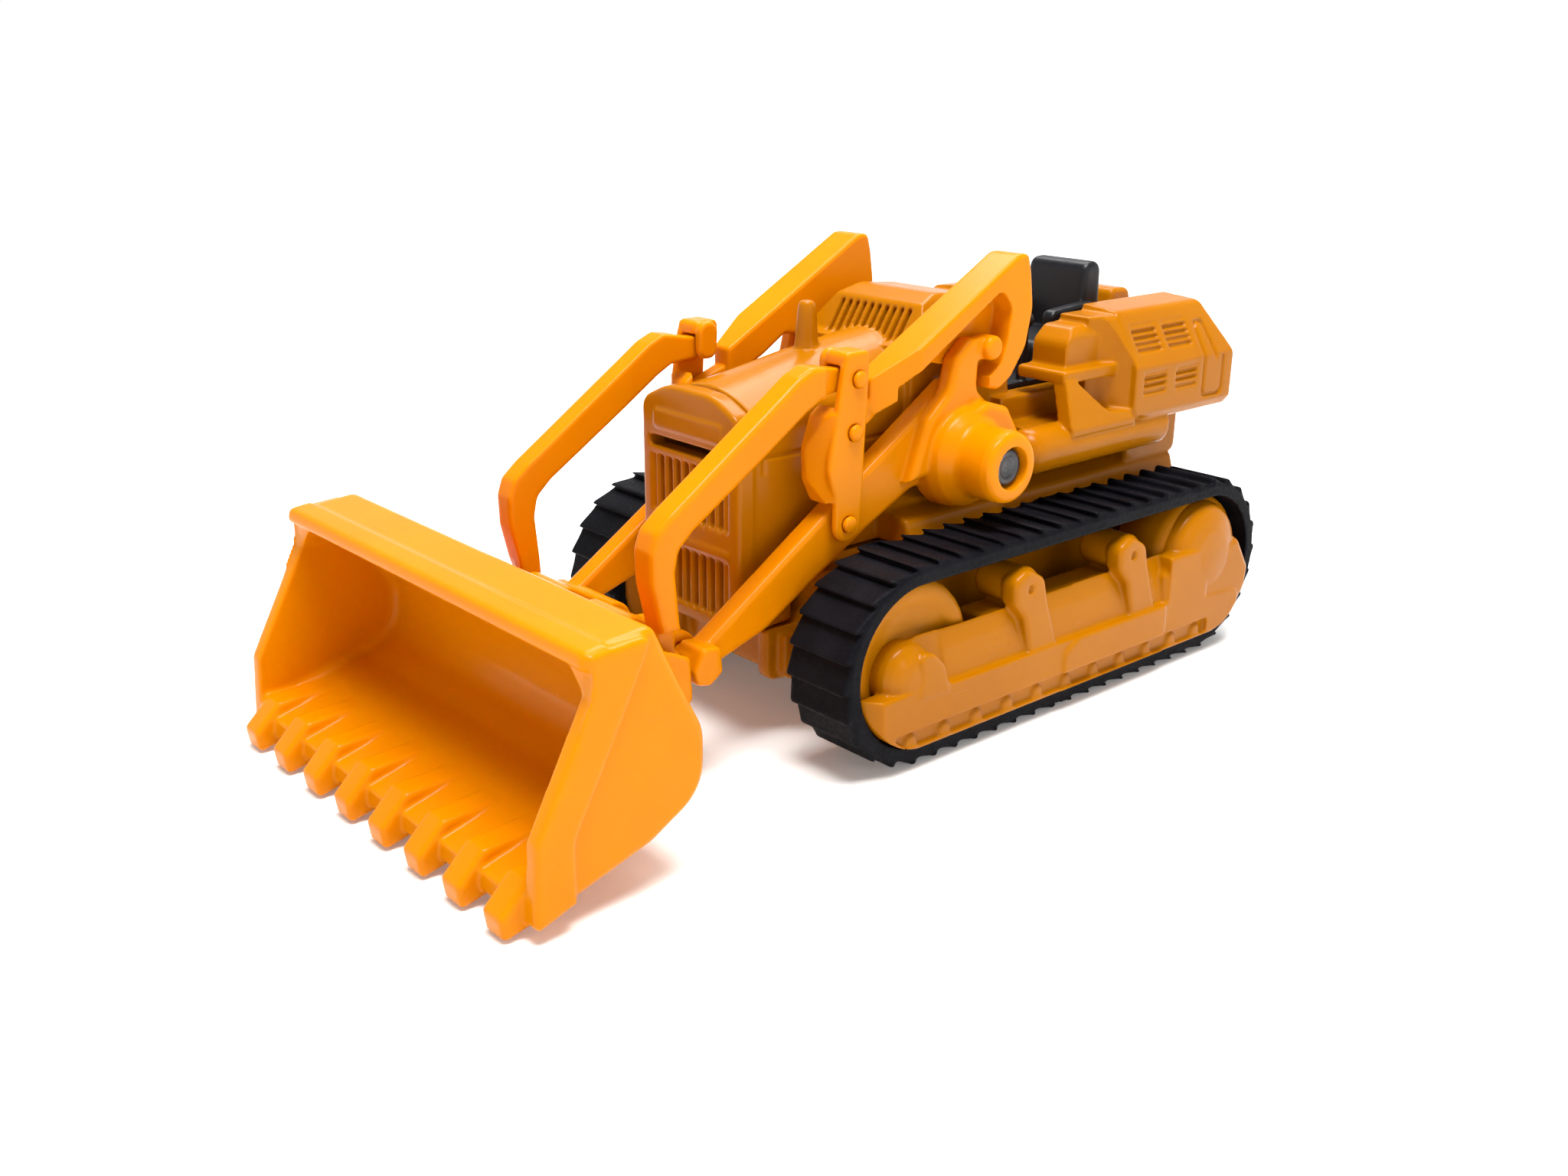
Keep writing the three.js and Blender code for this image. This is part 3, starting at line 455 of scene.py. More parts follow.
def hair_scratches(tree, place):
    """A mask of fine streaks, in patches."""
    turn = {"Vector": place, "Rotation": (0.5, 0.3, 0.9), "Scale": (1.0, 0.06, 1.0)}
    stretched = node(tree, "ShaderNodeMapping", turn).outputs["Vector"]
    hairs = ramp(tree, noise(tree, stretched, HAIR, 1), 0.70, 0.76)
    patches = ramp(tree, noise(tree, place, PATCH, 2), 0.52, 0.66)
    return times(tree, hairs, patches)


def moulded(name, colour, deep, rough, wear=0.1, bump=0.1, scatter=0.0, dust=0.15, shine=0.3):
    """Glossy plastic or enamel: flowing tone, faint orange peel, hair scratches and a few dark specks."""
    material, tree, shader = nodes_of(name)
    place = node(tree, "ShaderNodeTexCoord").outputs["Object"]
    flow = noise(tree, place, FLOW, 4)
    grain = noise(tree, place, GRAIN, 2)
    peel = noise(tree, place, PEEL, 2)
    scratch = hair_scratches(tree, place)
    spots = times(tree, specks(tree, place, SPECK_CELLS, 0.055, wear), 0.85)
    grime = times(tree, ramp(tree, noise(tree, place, GRIME, 4, 0.6), 0.62, 0.82), dust)
    tone = mixed(tree, ramp(tree, flow, 0.35, 0.7), colour, deep)
    tone = mixed(tree, times(tree, scratch, 0.10), tone, [c * 0.6 + 0.02 for c in deep[:3]] + [1])
    tone = mixed(tree, spots, tone, (0.05, 0.03, 0.015, 1))
    tone = mixed(tree, grime, tone, [c * 0.75 for c in colour[:3]] + [1])
    gloss = ramp(tree, grain, 0.3, 0.7, rough * 0.9, rough * 1.15)
    feed(tree, shader, {
        "Base Color": tone,
        "Roughness": plus(tree, gloss, times(tree, scratch, 0.2)),
        "Normal": relief(tree, plus(tree, peel, times(tree, grain, 0.2)), bump),
        "Specular IOR Level": shine,
        "Subsurface Weight": scatter,
        "Subsurface Radius": (1.0, 0.35, 0.05),
        "Subsurface Scale": 0.001,
    })
    return material


def rubber_look():
    """Black rubber with a dusty bloom in patches and pale specks."""
    material, tree, shader = nodes_of("track_rubber")
    place = node(tree, "ShaderNodeTexCoord").outputs["Object"]
    bloom = ramp(tree, noise(tree, place, BLOOM, 5, 0.65), 0.42, 0.75, 0.0, 0.75)
    tone = mixed(tree, bloom, (0.0025, 0.0025, 0.004, 1), (0.008, 0.008, 0.011, 1))
    lint = specks(tree, place, LINT_CELLS, 0.16, 0.16)
    chalk = times(tree, lint, ramp(tree, noise(tree, place, 140, 2), 0.5, 0.62))
    tone = mixed(tree, times(tree, chalk, 0.4), tone, (0.22, 0.23, 0.25, 1))
    grain = noise(tree, place, RUBBER_GRAIN, 3, 0.6)
    feed(tree, shader, {
        "Base Color": tone,
        "Roughness": ramp(tree, grain, 0.3, 0.7, 0.5, 0.7),
        "Normal": relief(tree, grain, 0.25),
        "Specular IOR Level": 0.07,
    })
    return material


def steel_look():
    """Dull turned steel: rings about the pin's own axis."""
    material, tree, shader = nodes_of("pin_steel")
    place = node(tree, "ShaderNodeTexCoord").outputs["Object"]
    shift = (0, -BOOM_PIVOT[0] * TO_METRES, -BOOM_PIVOT[1] * TO_METRES)
    shifted = node(tree, "ShaderNodeMapping", {"Vector": place, "Location": shift}).outputs["Vector"]
    wave = {"Vector": shifted, "Scale": TURNING_RINGS, "Distortion": 2.0, "Detail": 2.0}
    rings = node(tree, "ShaderNodeTexWave", wave, wave_type="RINGS", rings_direction="X").outputs["Fac"]
    cloud = noise(tree, place, CLOUD, 4)
    tone = mixed(tree, ramp(tree, cloud, 0.35, 0.7), (0.045, 0.045, 0.048, 1), (0.10, 0.10, 0.105, 1))
    feed(tree, shader, {
        "Base Color": tone,
        "Metallic": 0.85,
        "Roughness": ramp(tree, rings, 0, 1, 0.34, 0.5),
        "Normal": relief(tree, rings, 0.15),
    })
    return material


PAINT = moulded(
    "enamel_orange", (0.40, 0.134, 0.0, 1), (0.36, 0.116, 0.0, 1), 0.22,
    wear=0.08, bump=0.02, scatter=0.04, dust=0.015, shine=0.12,
)
PLASTIC = moulded(
    "moulded_orange", (0.68, 0.215, 0.0, 1), (0.65, 0.195, 0.0, 1), 0.22,
    wear=0.05, bump=0.02, scatter=0.12, dust=0.005, shine=0.10,
)
WHEEL = moulded(
    "moulded_amber", (0.44, 0.152, 0.0, 1), (0.38, 0.132, 0.0, 1), 0.4,
    wear=0.03, scatter=0.1, dust=0.03, shine=0.1,
)
BLACK = moulded(
    "moulded_black", (0.006, 0.006, 0.008, 1), (0.004, 0.004, 0.005, 1), 0.38,
    wear=0.0, bump=0.15,
)
RUBBER = rubber_look()
STEEL = steel_look()

# ---------- running gear ----------


def loop_point(radius, share):
    """A point on the racetrack round both axles, share of the way along from the front bottom."""
    run = REAR_AXLE_Y - FRONT_AXLE_Y
    arc = math.pi * radius
    way = (share % 1.0) * 2 * (run + arc)
    if way < run:
        return FRONT_AXLE_Y + way, AXLE_Z - radius
    if way < run + arc:
        angle = -math.pi / 2 + (way - run) / radius
        return REAR_AXLE_Y + radius * math.cos(angle), AXLE_Z + radius * math.sin(angle)
    if way < 2 * run + arc:
        return REAR_AXLE_Y - (way - run - arc), AXLE_Z + radius
    angle = math.pi / 2 + (way - 2 * run - arc) / radius
    return FRONT_AXLE_Y + radius * math.cos(angle), AXLE_Z + radius * math.sin(angle)


def loop(radius, points=240):
    """The racetrack round both axles as an outline."""
    return [loop_point(radius, k / points) for k in range(points)]


def belt():
    """A rubber belt: a plain band with a raised margin, and saw-toothed grousers across it."""
    root = CREST_R - 0.62
    middle = root - BELT_THICKNESS / 2
    right_across = ("x", BELT_IN_X - 1, BELT_OUT_X + 1)
    band = cut(
        extrude(loop(root), "x", BELT_IN_X, BELT_OUT_X, 0.2),
        extrude(loop(root - BELT_THICKNESS), *right_across),
    )
    margin = cut(
        extrude(loop(root + 0.12), "x", BELT_OUT_X - 0.5, BELT_OUT_X, 0.12),
        extrude(loop(middle), *right_across),
    )
    outline = []
    for lug in range(LUG_COUNT):
        outline += [loop_point(root + rise, (lug + share) / LUG_COUNT) for share, rise in LUG_PROFILE]
    lugs = cut(
        extrude(outline, "x", BELT_IN_X, LUG_END_X, 0.25),
        extrude(loop(middle), *right_across),
    )
    return soften(join(band, margin, lugs), FINE_VOXEL, 2)


def wheel(axle_y):
    """A smooth moulded wheel with a rounded tread and a shallow dished face."""
    low, high = WHEEL_LOW.x, WHEEL_HIGH.x
    tread = [
        (0.05, low), (0.9, low), (WHEEL_R - 0.5, low), (WHEEL_R, low + 0.4), (WHEEL_R, high - 0.7),
        (WHEEL_R - 0.2, high - 0.25), (WHEEL_R - 0.6, high),
    ]
    face = [
        (WHEEL_R - 1.3, high - 0.05), (WHEEL_R - 1.8, high - 0.35), (2.2, high - 0.5),
        (1.9, high - 0.2), (1.2, high - 0.1), (0.05, high - 0.1),
    ]
    return lathe(tread + face, "x", (axle_y, AXLE_Z), 96)


def axle(axle_y):
    """A plain steel axle with rounded ends."""
    reach = box_mm("front_axle")[1].x
    return bar("x", (axle_y, AXLE_Z), 0.9, -reach, reach, 0.15)


def frame_beam():
    """The beam of a side frame: ledged and sloped above, with a chamfered nose and a hollow fork."""
    skin = slab([
        (-6.6, FRAME_FLOOR_Z, 0.9), (30.0, FRAME_FLOOR_Z), (30.0, 9.6), (24.0, 9.6), (1.0, 9.4, 0.6),
        (-3.2, 9.6, 1.2), (-5.6, 9.2, 1.2), (-6.8, 7.9, 0.8), (-6.9, 6.15, 0.2), (-8.9, 6.15, 0.3),
        (-9.15, 5.7, 0.3), (-8.3, 3.6, 1.2),
    ], "x", FRAME_IN_X, FRAME_OUT_X, 0.25)
    beam = slab([
        (11.9, 3.0, 0.3), (12.5, FRAME_FLOOR_Z), (FRAME_OUT_X - 0.4, FRAME_FLOOR_Z, 0.4),
        (FRAME_OUT_X, FRAME_FLOOR_Z + 0.5, 0.3), (FRAME_OUT_X, 5.65, 0.2), (16.5, 5.8, 0.1),
        (15.7, 9.0, 0.9), (15.0, 9.3, 0.5), (12.9, 9.3, 0.6), (11.9, 8.2, 0.4),
    ], "y", 3.6, 23.4, 0.3)
    fork = [(18, 6.0), (18, 14), (15.4, 14), (15.6, 9.3), (16.0, 7.4), (16.0, 6.2)]
    lean = [(18, 5.75), (18, 14), (15.2, 14), (15.5, 9.6), (15.95, 8.2), (16.45, 5.85)]
    nose = [(15.2, -9.4), (15.2, -12), (19, -12), (19, -7.0), (17.2, -7.7)]
    whole = join(cut(skin, extrude(fork, "y", -9.5, -1.2)), beam)
    return cut(whole, extrude(lean, "y", -1.3, 24.6), extrude(nose, "z", 0, 7))


def frame_fork():
    """The dome on the fork at the front, and the tab beside it."""
    dome = lathe([
        (0.05, 14.6), (2.5, 14.6), (2.5, 15.5), (2.35, 16.0), (2.0, 16.4), (1.45, 16.75), (0.8, 16.92),
        (0.05, 16.97),
    ], "x", (-4.7, 6.9), 64)
    tab = slab([
        (-4.7, 5.2), (-1.2, 5.2), (-1.9, 7.5, 1.5), (-3.0, 8.5, 0.8), (-3.95, 8.75, 0.4),
        (-4.45, 8.3, 0.3), (-4.2, 6.9, 1),
    ], "x", 15.6, FRAME_OUT_X + 0.08, 0.25)
    return dome, tab


def frame_rear():
    """The bulged housing at the back: a block, a dome over the wheel and an apron below."""
    housing = slab([
        (24.2, FRAME_FLOOR_Z), (33.6, FRAME_FLOOR_Z, 2.2), (36.2, 4.6, 1.6), (36.3, 6.6, 0.9),
        (34.4, 9.4, 0.8), (25.2, 9.4, 0.8), (24.2, 8.0),
    ], "x", 14.9, FRAME_OUT_X - 0.1, 0.6)
    dome = lathe([
        (0.05, 14.6), (4.5, 14.6), (4.5, 15.3), (4.3, 15.9), (3.9, 16.35), (3.2, 16.7), (2.2, 16.95),
        (1.0, 17.05), (0.05, 17.08),
    ], "x", (30.3, 8.5), 72)
    apron = slab([
        (24.0, FRAME_FLOOR_Z), (33.4, FRAME_FLOOR_Z, 2.0), (36.0, 4.9, 1.6), (24.0, 5.8),
    ], "x", FRAME_IN_X, FRAME_OUT_X, 0.25)
    return housing, dome, apron


def frame_strip():
    """The recess along the foot of a side frame, and the row of roller ends that shows in it."""
    recess = rounded([(-5.4, 2.0, 0.5), (30.5, 1.9, 0.3), (30.5, 3.2, 0.3), (-7.2, 3.25, 0.3)])
    rollers = [bar("x", (-4.85 + 3.4 * k, 2.3), 0.6, 15.5, FRAME_OUT_X - 0.15, 0.2) for k in range(11)]
    return extrude(recess, "x", FRAME_OUT_X - 0.4, FRAME_OUT_X + 1), rollers


def carrier_rollers():
    """Two posts that rise from the ledge, each the rounded end of a small roller."""
    made = []
    for y in (7.3, 19.65):
        post = slab([
            (y + 0.2, 5.6), (y + 3.6, 5.6), (y + 2.15, 9.4, 1.2), (y + 1.6, 11.4, 1.0),
            (y - 0.3, 12.45, 1.0), (y - 1.8, 11.7, 0.9), (y - 1.7, 10.0, 1.0), (y - 0.5, 8.6, 1.0),
        ], "x", 15.2, FRAME_OUT_X - 0.2, 0.4)
        roller = bar("x", (y - 0.05, 10.9), 1.5, 12.4, FRAME_OUT_X - 0.6, 0.4)
        dimple = block(FRAME_OUT_X - 0.5, FRAME_OUT_X + 1, y - 0.3, y + 0.25, 10.5, 11.2)
        made.append(cut(join(post, roller), dimple))
    return made


def track_frame():
    """A side frame, held clear of the belt that runs round it."""
    plate = slab([
        (11.3, 1.8), (11.3, 4.9, 0.7), (12.9, 5.85, 0.8), (24.2, 5.85, 0.5), (24.2, 1.8),
    ], "x", 16.2, FRAME_OUT_X + 0.22, 0.2)
    whole = join(frame_beam(), *frame_fork(), *frame_rear(), plate, *carrier_rollers())
    recess, rollers = frame_strip()
    pegs = [bar("x", (y, 6.4), 1.2, 8.0, 12.6) for y in (8.5, 20.0)]
    whole = join(cut(whole, recess), *rollers, *pegs)
    window = extrude(loop(5.88), "x", 0, 20)
    return soften(common(whole, window), MIDDLE_VOXEL, 3)


def running_gear():
    wheels = {"front_wheels": FRONT_AXLE_Y, "rear_wheels": REAR_AXLE_Y}
    publish_pair(belt(), "track", ("chassis", "chassis"), RUBBER)
    for name, (body, y) in zip(("idler", "drive_wheel"), wheels.items()):
        publish_pair(wheel(y), name, (body, body), WHEEL)
    for name, (body, y) in zip(("front_axle", "rear_axle"), wheels.items()):
        publish(axle(y), name, body, STEEL)
    publish_pair(track_frame(), "track_frame", ("chassis", "chassis"), PAINT)


# ---------- base ----------


def tow_hook(front):
    """A flat loop that hangs at the front of the base."""
    outer = [(front, 8.2), (front, 4.4, 0.9), (-5.4, 4.0, 0.9), (-4.8, 8.2)]
    inner = [(-7.5, 6.9, 0.4), (-7.5, 5.5, 0.6), (-5.9, 5.3, 0.5), (-5.9, 6.9, 0.4)]
    return cut(slab(outer, "x", 4.6, 5.8, 0.2), slab(inner, "x", 4, 7))


def base():
    """The chassis between the belts, with its axle tubes, rivet holes, tow hooks and towing eye."""
    low, high = box_mm("base")
    half = 9.6
    axle_ys = (FRONT_AXLE_Y, REAR_AXLE_Y)
    side = [
        (-7.6, 4.8, 0.6), (-5.0, low.z, 0.8), (33.6, low.z, 1.5), (high.y, 6.0, 1.2), (high.y, high.z),
        (-4.9, high.z), (-4.9, 7.9), (-7.6, 7.9, 0.3),
    ]
    nose = extrude([(6.6, -9), (14, -9), (14, -4.8), (9.0, -4.8), (6.6, -6.6)], "z", 0, 20)
    whole = cut(slab(side, "x", -half, half, 0.4), both(nose))
    tubes = [bar("x", (y, AXLE_Z), 2.2, -half - 0.7, half + 0.7, 0.2) for y in axle_ys]
    whole = join(whole, both(tow_hook(low.y)), *tubes)
    bores = [bar("x", (y, AXLE_Z), 0.97, -20, 20) for y in axle_ys]
    heads = [bar("z", (0, y), 1.9, 0, 3.35) for y in RIVET_YS]
    whole = cut(whole, *bores, *heads, block(-2.6, 2.6, high.y - 1.0, high.y + 1, 5.2, 8.8))
    return soften(join(whole, hitch(high.y)), COARSE_VOXEL, 3)


def hitch(rear):
    """The towing eye in the pocket at the back of the base."""
    front, tip = rear - 1.6, rear - 0.1
    plan = symmetric([(1.7, front), (1.7, tip, 0.8)])
    return cut(slab(plan, "z", 6.6, 7.5, 0.15), bar("z", (0, rear - 0.75), 0.42, 5, 9))


def rivet(y):
    """A rivet with a domed head below."""
    low, high = box_mm("rivet_front")
    head = [
        (0.05, low.z + 0.02), (0.8, low.z), (1.35, low.z + 0.12), (1.5, low.z + 0.3),
        (1.45, low.z + 0.5),
    ]
    shank = [(0.85, low.z + 0.6), (0.85, high.z - 0.1), (0.05, high.z)]
    return lathe(head + shank, "z", (0, y), 40)


# ---------- upper body ----------


def arch(half, bottom, shoulder, crown, steps=16):
    """The hood's section: straight sides under a crowned top."""
    side = [
        (half, bottom), (half, shoulder - 1.2), (half - 0.1, shoulder - 0.75),
        (half - 0.35, shoulder - 0.35),
    ]
    top = []
    for i in range(steps + 1):
        t = 1 - 2 * i / steps
        top.append((t * (half - 0.8), crown - (crown - shoulder) * t * t))
    return side + top + [(-x, z) for x, z in reversed(side)]


def hood():
    """The hood, crowned and rising to the rear through measured stations."""
    stations = (  # y, half width, bottom, shoulder, crown
        (HOOD_FRONT_Y + 0.9, HOOD_HALF_WIDTH, 8.3, 24.0, 25.2),
        (-9.0, HOOD_HALF_WIDTH, 8.3, 24.1, 25.4),
        (-5.0, HOOD_HALF_WIDTH + 0.05, 8.6, 24.5, 26.1),
        (-1.0, HOOD_HALF_WIDTH + 0.1, 9.0, 24.9, 26.9),
        (3.0, HOOD_HALF_WIDTH + 0.1, 9.0, 25.3, 27.5),
        (6.2, HOOD_HALF_WIDTH + 0.1, 9.0, 25.6, 27.9),
    )
    return stack([[(x, y, z) for x, z in arch(*section)] for y, *section in stations])


def radiator():
    """The radiator shell, its two ribbed grilles, a middle bar and a plain raised band; and its slot."""
    front = HOOD_FRONT_Y
    face = symmetric([(5.5, 8.2, 0.5), (5.5, 23.9, 1.3), (2.6, 25.25, 5)])
    grilles = [block(-4.35, 4.35, front - 1, front + 0.75, low, high) for low, high in GRILLES]
    whole = cut(slab(face, "y", front, front + 1.7, 0.35), *grilles)
    ribs = []
    for k in range(9):
        x = -3.84 + 0.96 * k
        rib = [
            (x - 0.27, front + 0.9), (x - 0.2, front + 0.12, 0.12), (x + 0.2, front + 0.12, 0.12),
            (x + 0.27, front + 0.9),
        ]
        ribs += [slab(rib, "z", low - 0.2, high + 0.2) for low, high in reversed(GRILLES)]
    middle = extrude(rectangle(-4.5, 4.5, 13.75, 14.4, 0.2), "y", front - 0.12, front + 0.5, 0.1)
    band = extrude(rectangle(-3.9, 3.9, 21.95, 23.35, 0.4), "y", front - 0.16, front + 0.5, 0.12)
    slot = extrude(rectangle(-4.6, 4.6, 20.55, 21.35, 0.3), "y", front - 1, -8.7)
    return join(whole, middle, band, *ribs), slot


def cowl():
    """The dash cowl: a sloping ribbed face and a smooth crowned top."""
    foot, brow = (5.8, 27.3), (7.5, 29.9)
    side = [
        (5.0, 20), (5.0, 27.0), (*foot, 0.3), (*brow, 0.8), (9.4, 30.6, 2), (13.6, 30.2, 1.5),
        (15.7, 28.8, 1.0), (16.2, 22.0), (16.2, 20),
    ]
    across = symmetric([(6.1, 20), (6.1, 27.6, 1.6), (3.9, 31.0, 2.4)])
    body = common(slab(side, "x", -6.1, 6.1), slab(across, "y", 4, 17))
    slope = math.atan2(brow[1] - foot[1], brow[0] - foot[0])
    grooves = []
    for k in range(10):
        x = -3.6 + 0.8 * k
        groove = block(x - 0.2, x + 0.2, 5.1, 8.0, 27.75, 29.5)
        grooves.append(tilted(groove, slope, (6.65, 28.35)))
    return cut(body, *grooves)


def exhaust():
    """The slim, slightly tapered exhaust stack."""
    profile = [
        (0.05, 25.0), (0.95, 25.0), (0.95, 27.1), (0.86, 27.6), (0.72, 29.6), (0.62, 30.2),
        (0.45, 30.42), (0.05, 30.45),
    ]
    return lathe(profile, "z", (0, 0.1), 40)


def louvre(y0, y1, z0, z1, slats):
    """A shallow window and the slats in it, on a face that looks along +X at x = 0."""
    pitch = (z1 - z0) / slats
    bars = []
    for k in range(slats):
        z = z0 + pitch * (k + 0.5)
        slat = [(-0.5, z + 0.2), (-0.02, z - 0.02), (-0.02, z - 0.14), (-0.5, z - 0.1)]
        bars.append(extrude(slat, "y", y0, y1))
    return cut(extrude(rectangle(y0, y1, z0, z1, 0.2), "x", -0.35, 1.0), *bars)


def moved(solid, x=0.0, z=0.0, lean=0.0):
    """The solid leaned about the Y direction and then shifted."""
    solid.data.transform(Matrix.Translation((x, 0, z)) @ Matrix.Rotation(lean, 4, "Y"))
    return solid


def door_groove(outer, inner, depth):
    """The thin engraved outline of a door, on a face that looks along +X at x = 0."""
    return cut(slab(outer, "x", -depth, 1), slab(inner, "x", -1, 2))


def rear_box():
    """The housing beside the seat: sloped shoulder, louvred windows and an engraved door."""
    eave_z, ridge_x, ridge_z = 24.2, 9.9, 28.4
    across = [
        (6.4, 19.6), (BOX_OUT_X - 0.5, 19.6, 0.5), (BOX_OUT_X, 20.4, 0.4), (BOX_OUT_X, eave_z, 0.5),
        (ridge_x, ridge_z, 0.9), (6.4, 28.7),
    ]
    side = [
        (24.3, 30), (24.3, 20.5, 0.8), (30.6, 18.9, 1.8), (REAR_Y, 19.0, 1.4), (REAR_Y, eave_z, 2.4),
        (35.2, 28.9, 2.2), (33, 30),
    ]
    body = common(slab(across, "y", 24.0, REAR_Y), slab(side, "x", 0, 20))
    lower_door = door_groove(
        [(33.5, 20.7, 0.5), (36.5, 20.7, 0.5), (36.5, 24.1), (33.5, 24.1)],
        [(33.8, 21.0, 0.4), (36.2, 21.0, 0.4), (36.2, 24.5), (33.8, 24.5)],
        0.28,
    )
    upper_door = door_groove(
        [(33.5, -0.3), (35.4, -0.3), (35.0, 3.2, 0.6), (33.5, 3.2, 0.6)],
        [(33.8, -0.6), (35.1, -0.6), (34.7, 2.9, 0.5), (33.8, 2.9, 0.5)],
        0.28,
    )
    on_wall = [lower_door] + [louvre(y, y + 3.0, 21.7, 23.8, 4) for y in (25.4, 29.7)]
    on_slope = [upper_door] + [louvre(y, y + 3.3, 0.9, 3.6, 5) for y in (25.2, 29.3)]
    lean = -math.atan2(BOX_OUT_X - ridge_x, ridge_z - eave_z)
    placed = [moved(made, x=BOX_OUT_X) for made in on_wall]
    placed += [moved(made, x=BOX_OUT_X, z=eave_z, lean=lean) for made in on_slope]
    return cut(body, *placed)


def side_deck():
    """Console, deck edge, scoop and side tank on one side."""
    console_side = [(18.5, 24.0), (18.5, 26.5, 1.0), (19.8, 27.6, 1.0), (24.8, 27.7), (24.8, 24.0)]
    console_end = [(6.3, 23), (9.7, 23), (9.7, 27.0, 0.9), (8.9, 27.7, 0.8), (6.3, 27.7)]
    console = common(
        slab(console_side, "x", 6.3, 9.7), slab(console_end, "y", 18, 25),
    )
    panel_plan = [
        (12.3, 24.9), (12.1, 24.5), (10.4, 23.4), (9.7, 22.6), (9.4, 21.5), (6.4, 21.5), (6.4, 24.9),
    ]
    panel_end = [(6.4, 19), (BOX_OUT_X, 19), (BOX_OUT_X, 24.2, 0.5), (9.9, 28.2, 0.9), (6.4, 28.2)]
    panel = common(
        slab(panel_plan, "z", 20.2, 28.3), slab(panel_end, "y", 20, 26),
    )
    edge_side = [(17.1, 23.6, 0.25), (17.1, 24.6, 0.3), (24.8, 24.6), (24.8, 23.6)]
    edge = slab(edge_side, "x", 6.0, 10.8, 0.2)
    ledge_side = [(16.8, 19.7, 0.2), (16.8, 20.4, 0.2), (24.8, 20.4), (24.8, 19.7)]
    ledge = slab(ledge_side, "x", 9.0, 12.2, 0.2)
    return join(console, panel, edge, scoop(), ledge, side_tank())


def scoop():
    """The open wedge below the deck edge."""
    side = [
        (17.2, 23.9), (16.7, 20.2, 0.3), (24.8, 20.2), (24.8, 20.9), (21.6, 21.1, 2.0), (18.3, 23.9),
    ]
    end = [(10.9, 20.0), (12.3, 20.0), (10.9, 23.9), (9.5, 23.9)]
    return common(slab(side, "x", 9.0, 12.6), extrude(end, "y", 16, 26))


def side_tank():
    """A lying cylinder with a rounded front end, and the block that carries it."""
    barrel = [
        (0.05, -29.6), (1.8, -29.5), (1.8, -13.7), (1.7, -13.1), (1.4, -12.7), (0.9, -12.45),
        (0.05, -12.4),
    ]
    return join(lathe(barrel, "y", (10.4, 18.9), 64), block(5.2, 10.4, 14.4, 29.0, 18.0, 20.4))


def rear_deck():
    """The deck behind the seat: a low hump on top, a ring groove and four slots in its rear face."""
    deck = slab([
        (14.0, 20.0), (14.0, 22.4), (31.0, 22.4), (31.0, 26.7, 0.5), (36.6, 27.3, 0.8),
        (REAR_Y, 25.4, 0.9), (REAR_Y, 19.0, 1.0), (30.6, 18.9), (24, 20),
    ], "x", -7.2, 7.2)
    ring = cut(
        block(-4.8, 4.8, REAR_Y - 0.35, REAR_Y + 1, 20.2, 24.4),
        block(-4.45, 4.45, REAR_Y - 1, REAR_Y + 2, 20.55, 24.05),
    )
    slot_zs = [21.0 + 0.75 * k for k in range(4)]
    slots = [block(-3.6, 3.6, REAR_Y - 0.5, REAR_Y + 1, z, z + 0.35) for z in slot_zs]
    hump_side = [(33.2, 26.4), (33.7, 28.6, 0.7), (36.1, 28.5, 0.7), (36.8, 26.4)]
    return join(cut(deck, ring, *slots), slab(hump_side, "x", -2.4, 2.4, 0.4))


def lower_body():
    """The narrow waist under the cowl, the skirt over the chassis, the spine and the rear brackets."""
    core_end = symmetric([(HOOD_HALF_WIDTH, 12.9), (5.9, 21.5), (5.9, 26.2, 0.8)])
    core = slab(core_end, "y", 5.5, 15.5)
    skirt_end = symmetric([(9.2, 13.0, 0.3), (8.6, 15.0, 0.5), (6.1, 15.7)])
    skirt = slab(skirt_end, "y", 2.4, 35.5, 0.3)
    spine = block(-6.1, 6.1, 14.5, 35.0, 15.0, 20.8)
    bracket_side = [(29.0, 15.0), (36.2, 15.0, 0.8), (36.2, 19.8), (29.0, 19.8)]
    bracket = cut(slab(bracket_side, "x", 6.0, 8.4, 0.25), bar("x", (33.6, 17.2), 0.8, 5, 9))
    return join(core, skirt, spine, both(bracket))


def hood_seams():
    """The engraved lines of the hood: a seam on each side and a ring behind the radiator shell."""
    near, far = HOOD_HALF_WIDTH - 0.15, HOOD_HALF_WIDTH + 2
    seam = both(join(block(near, far, -8.8, 5.0, 20.8, 21.1), block(near, far, -8.8, -8.5, 19.8, 21.1)))
    ring_out = arch(HOOD_HALF_WIDTH + 2, 22.6, 26.5, 27.5)
    ring_in = arch(HOOD_HALF_WIDTH - 0.25, 20.0, 23.75, 24.95)
    return seam, cut(extrude(ring_out, "y", -9.6, -9.25), extrude(ring_in, "y", -10, -9))


def body_shell():
    """The upper shell in one casting, hollowed for the seat, the liner, the pin and the chassis."""
    shell, slot = radiator()
    sides = both(join(rear_box(), side_deck()))
    whole = join(hood(), shell, cowl(), exhaust(), rear_deck(), lower_body(), sides)
    liner_bay = block(-4.7, 4.7, HOOD_FRONT_Y + 1.5, -7.0, 20.4, 22.1)
    seat_bay = block(-5.2, 5.2, 17.0, 31.6, 21.6, 30)
    pin_bore = bar("x", BOOM_PIVOT, PIN_BORE_R, -20, 20)
    underside = block(-15, 15, -6.0, 40, 0, 13.0)
    whole = cut(whole, *hood_seams(), slot, liner_bay, seat_bay, pin_bore, underside)
    return soften(whole, MIDDLE_VOXEL, 3)


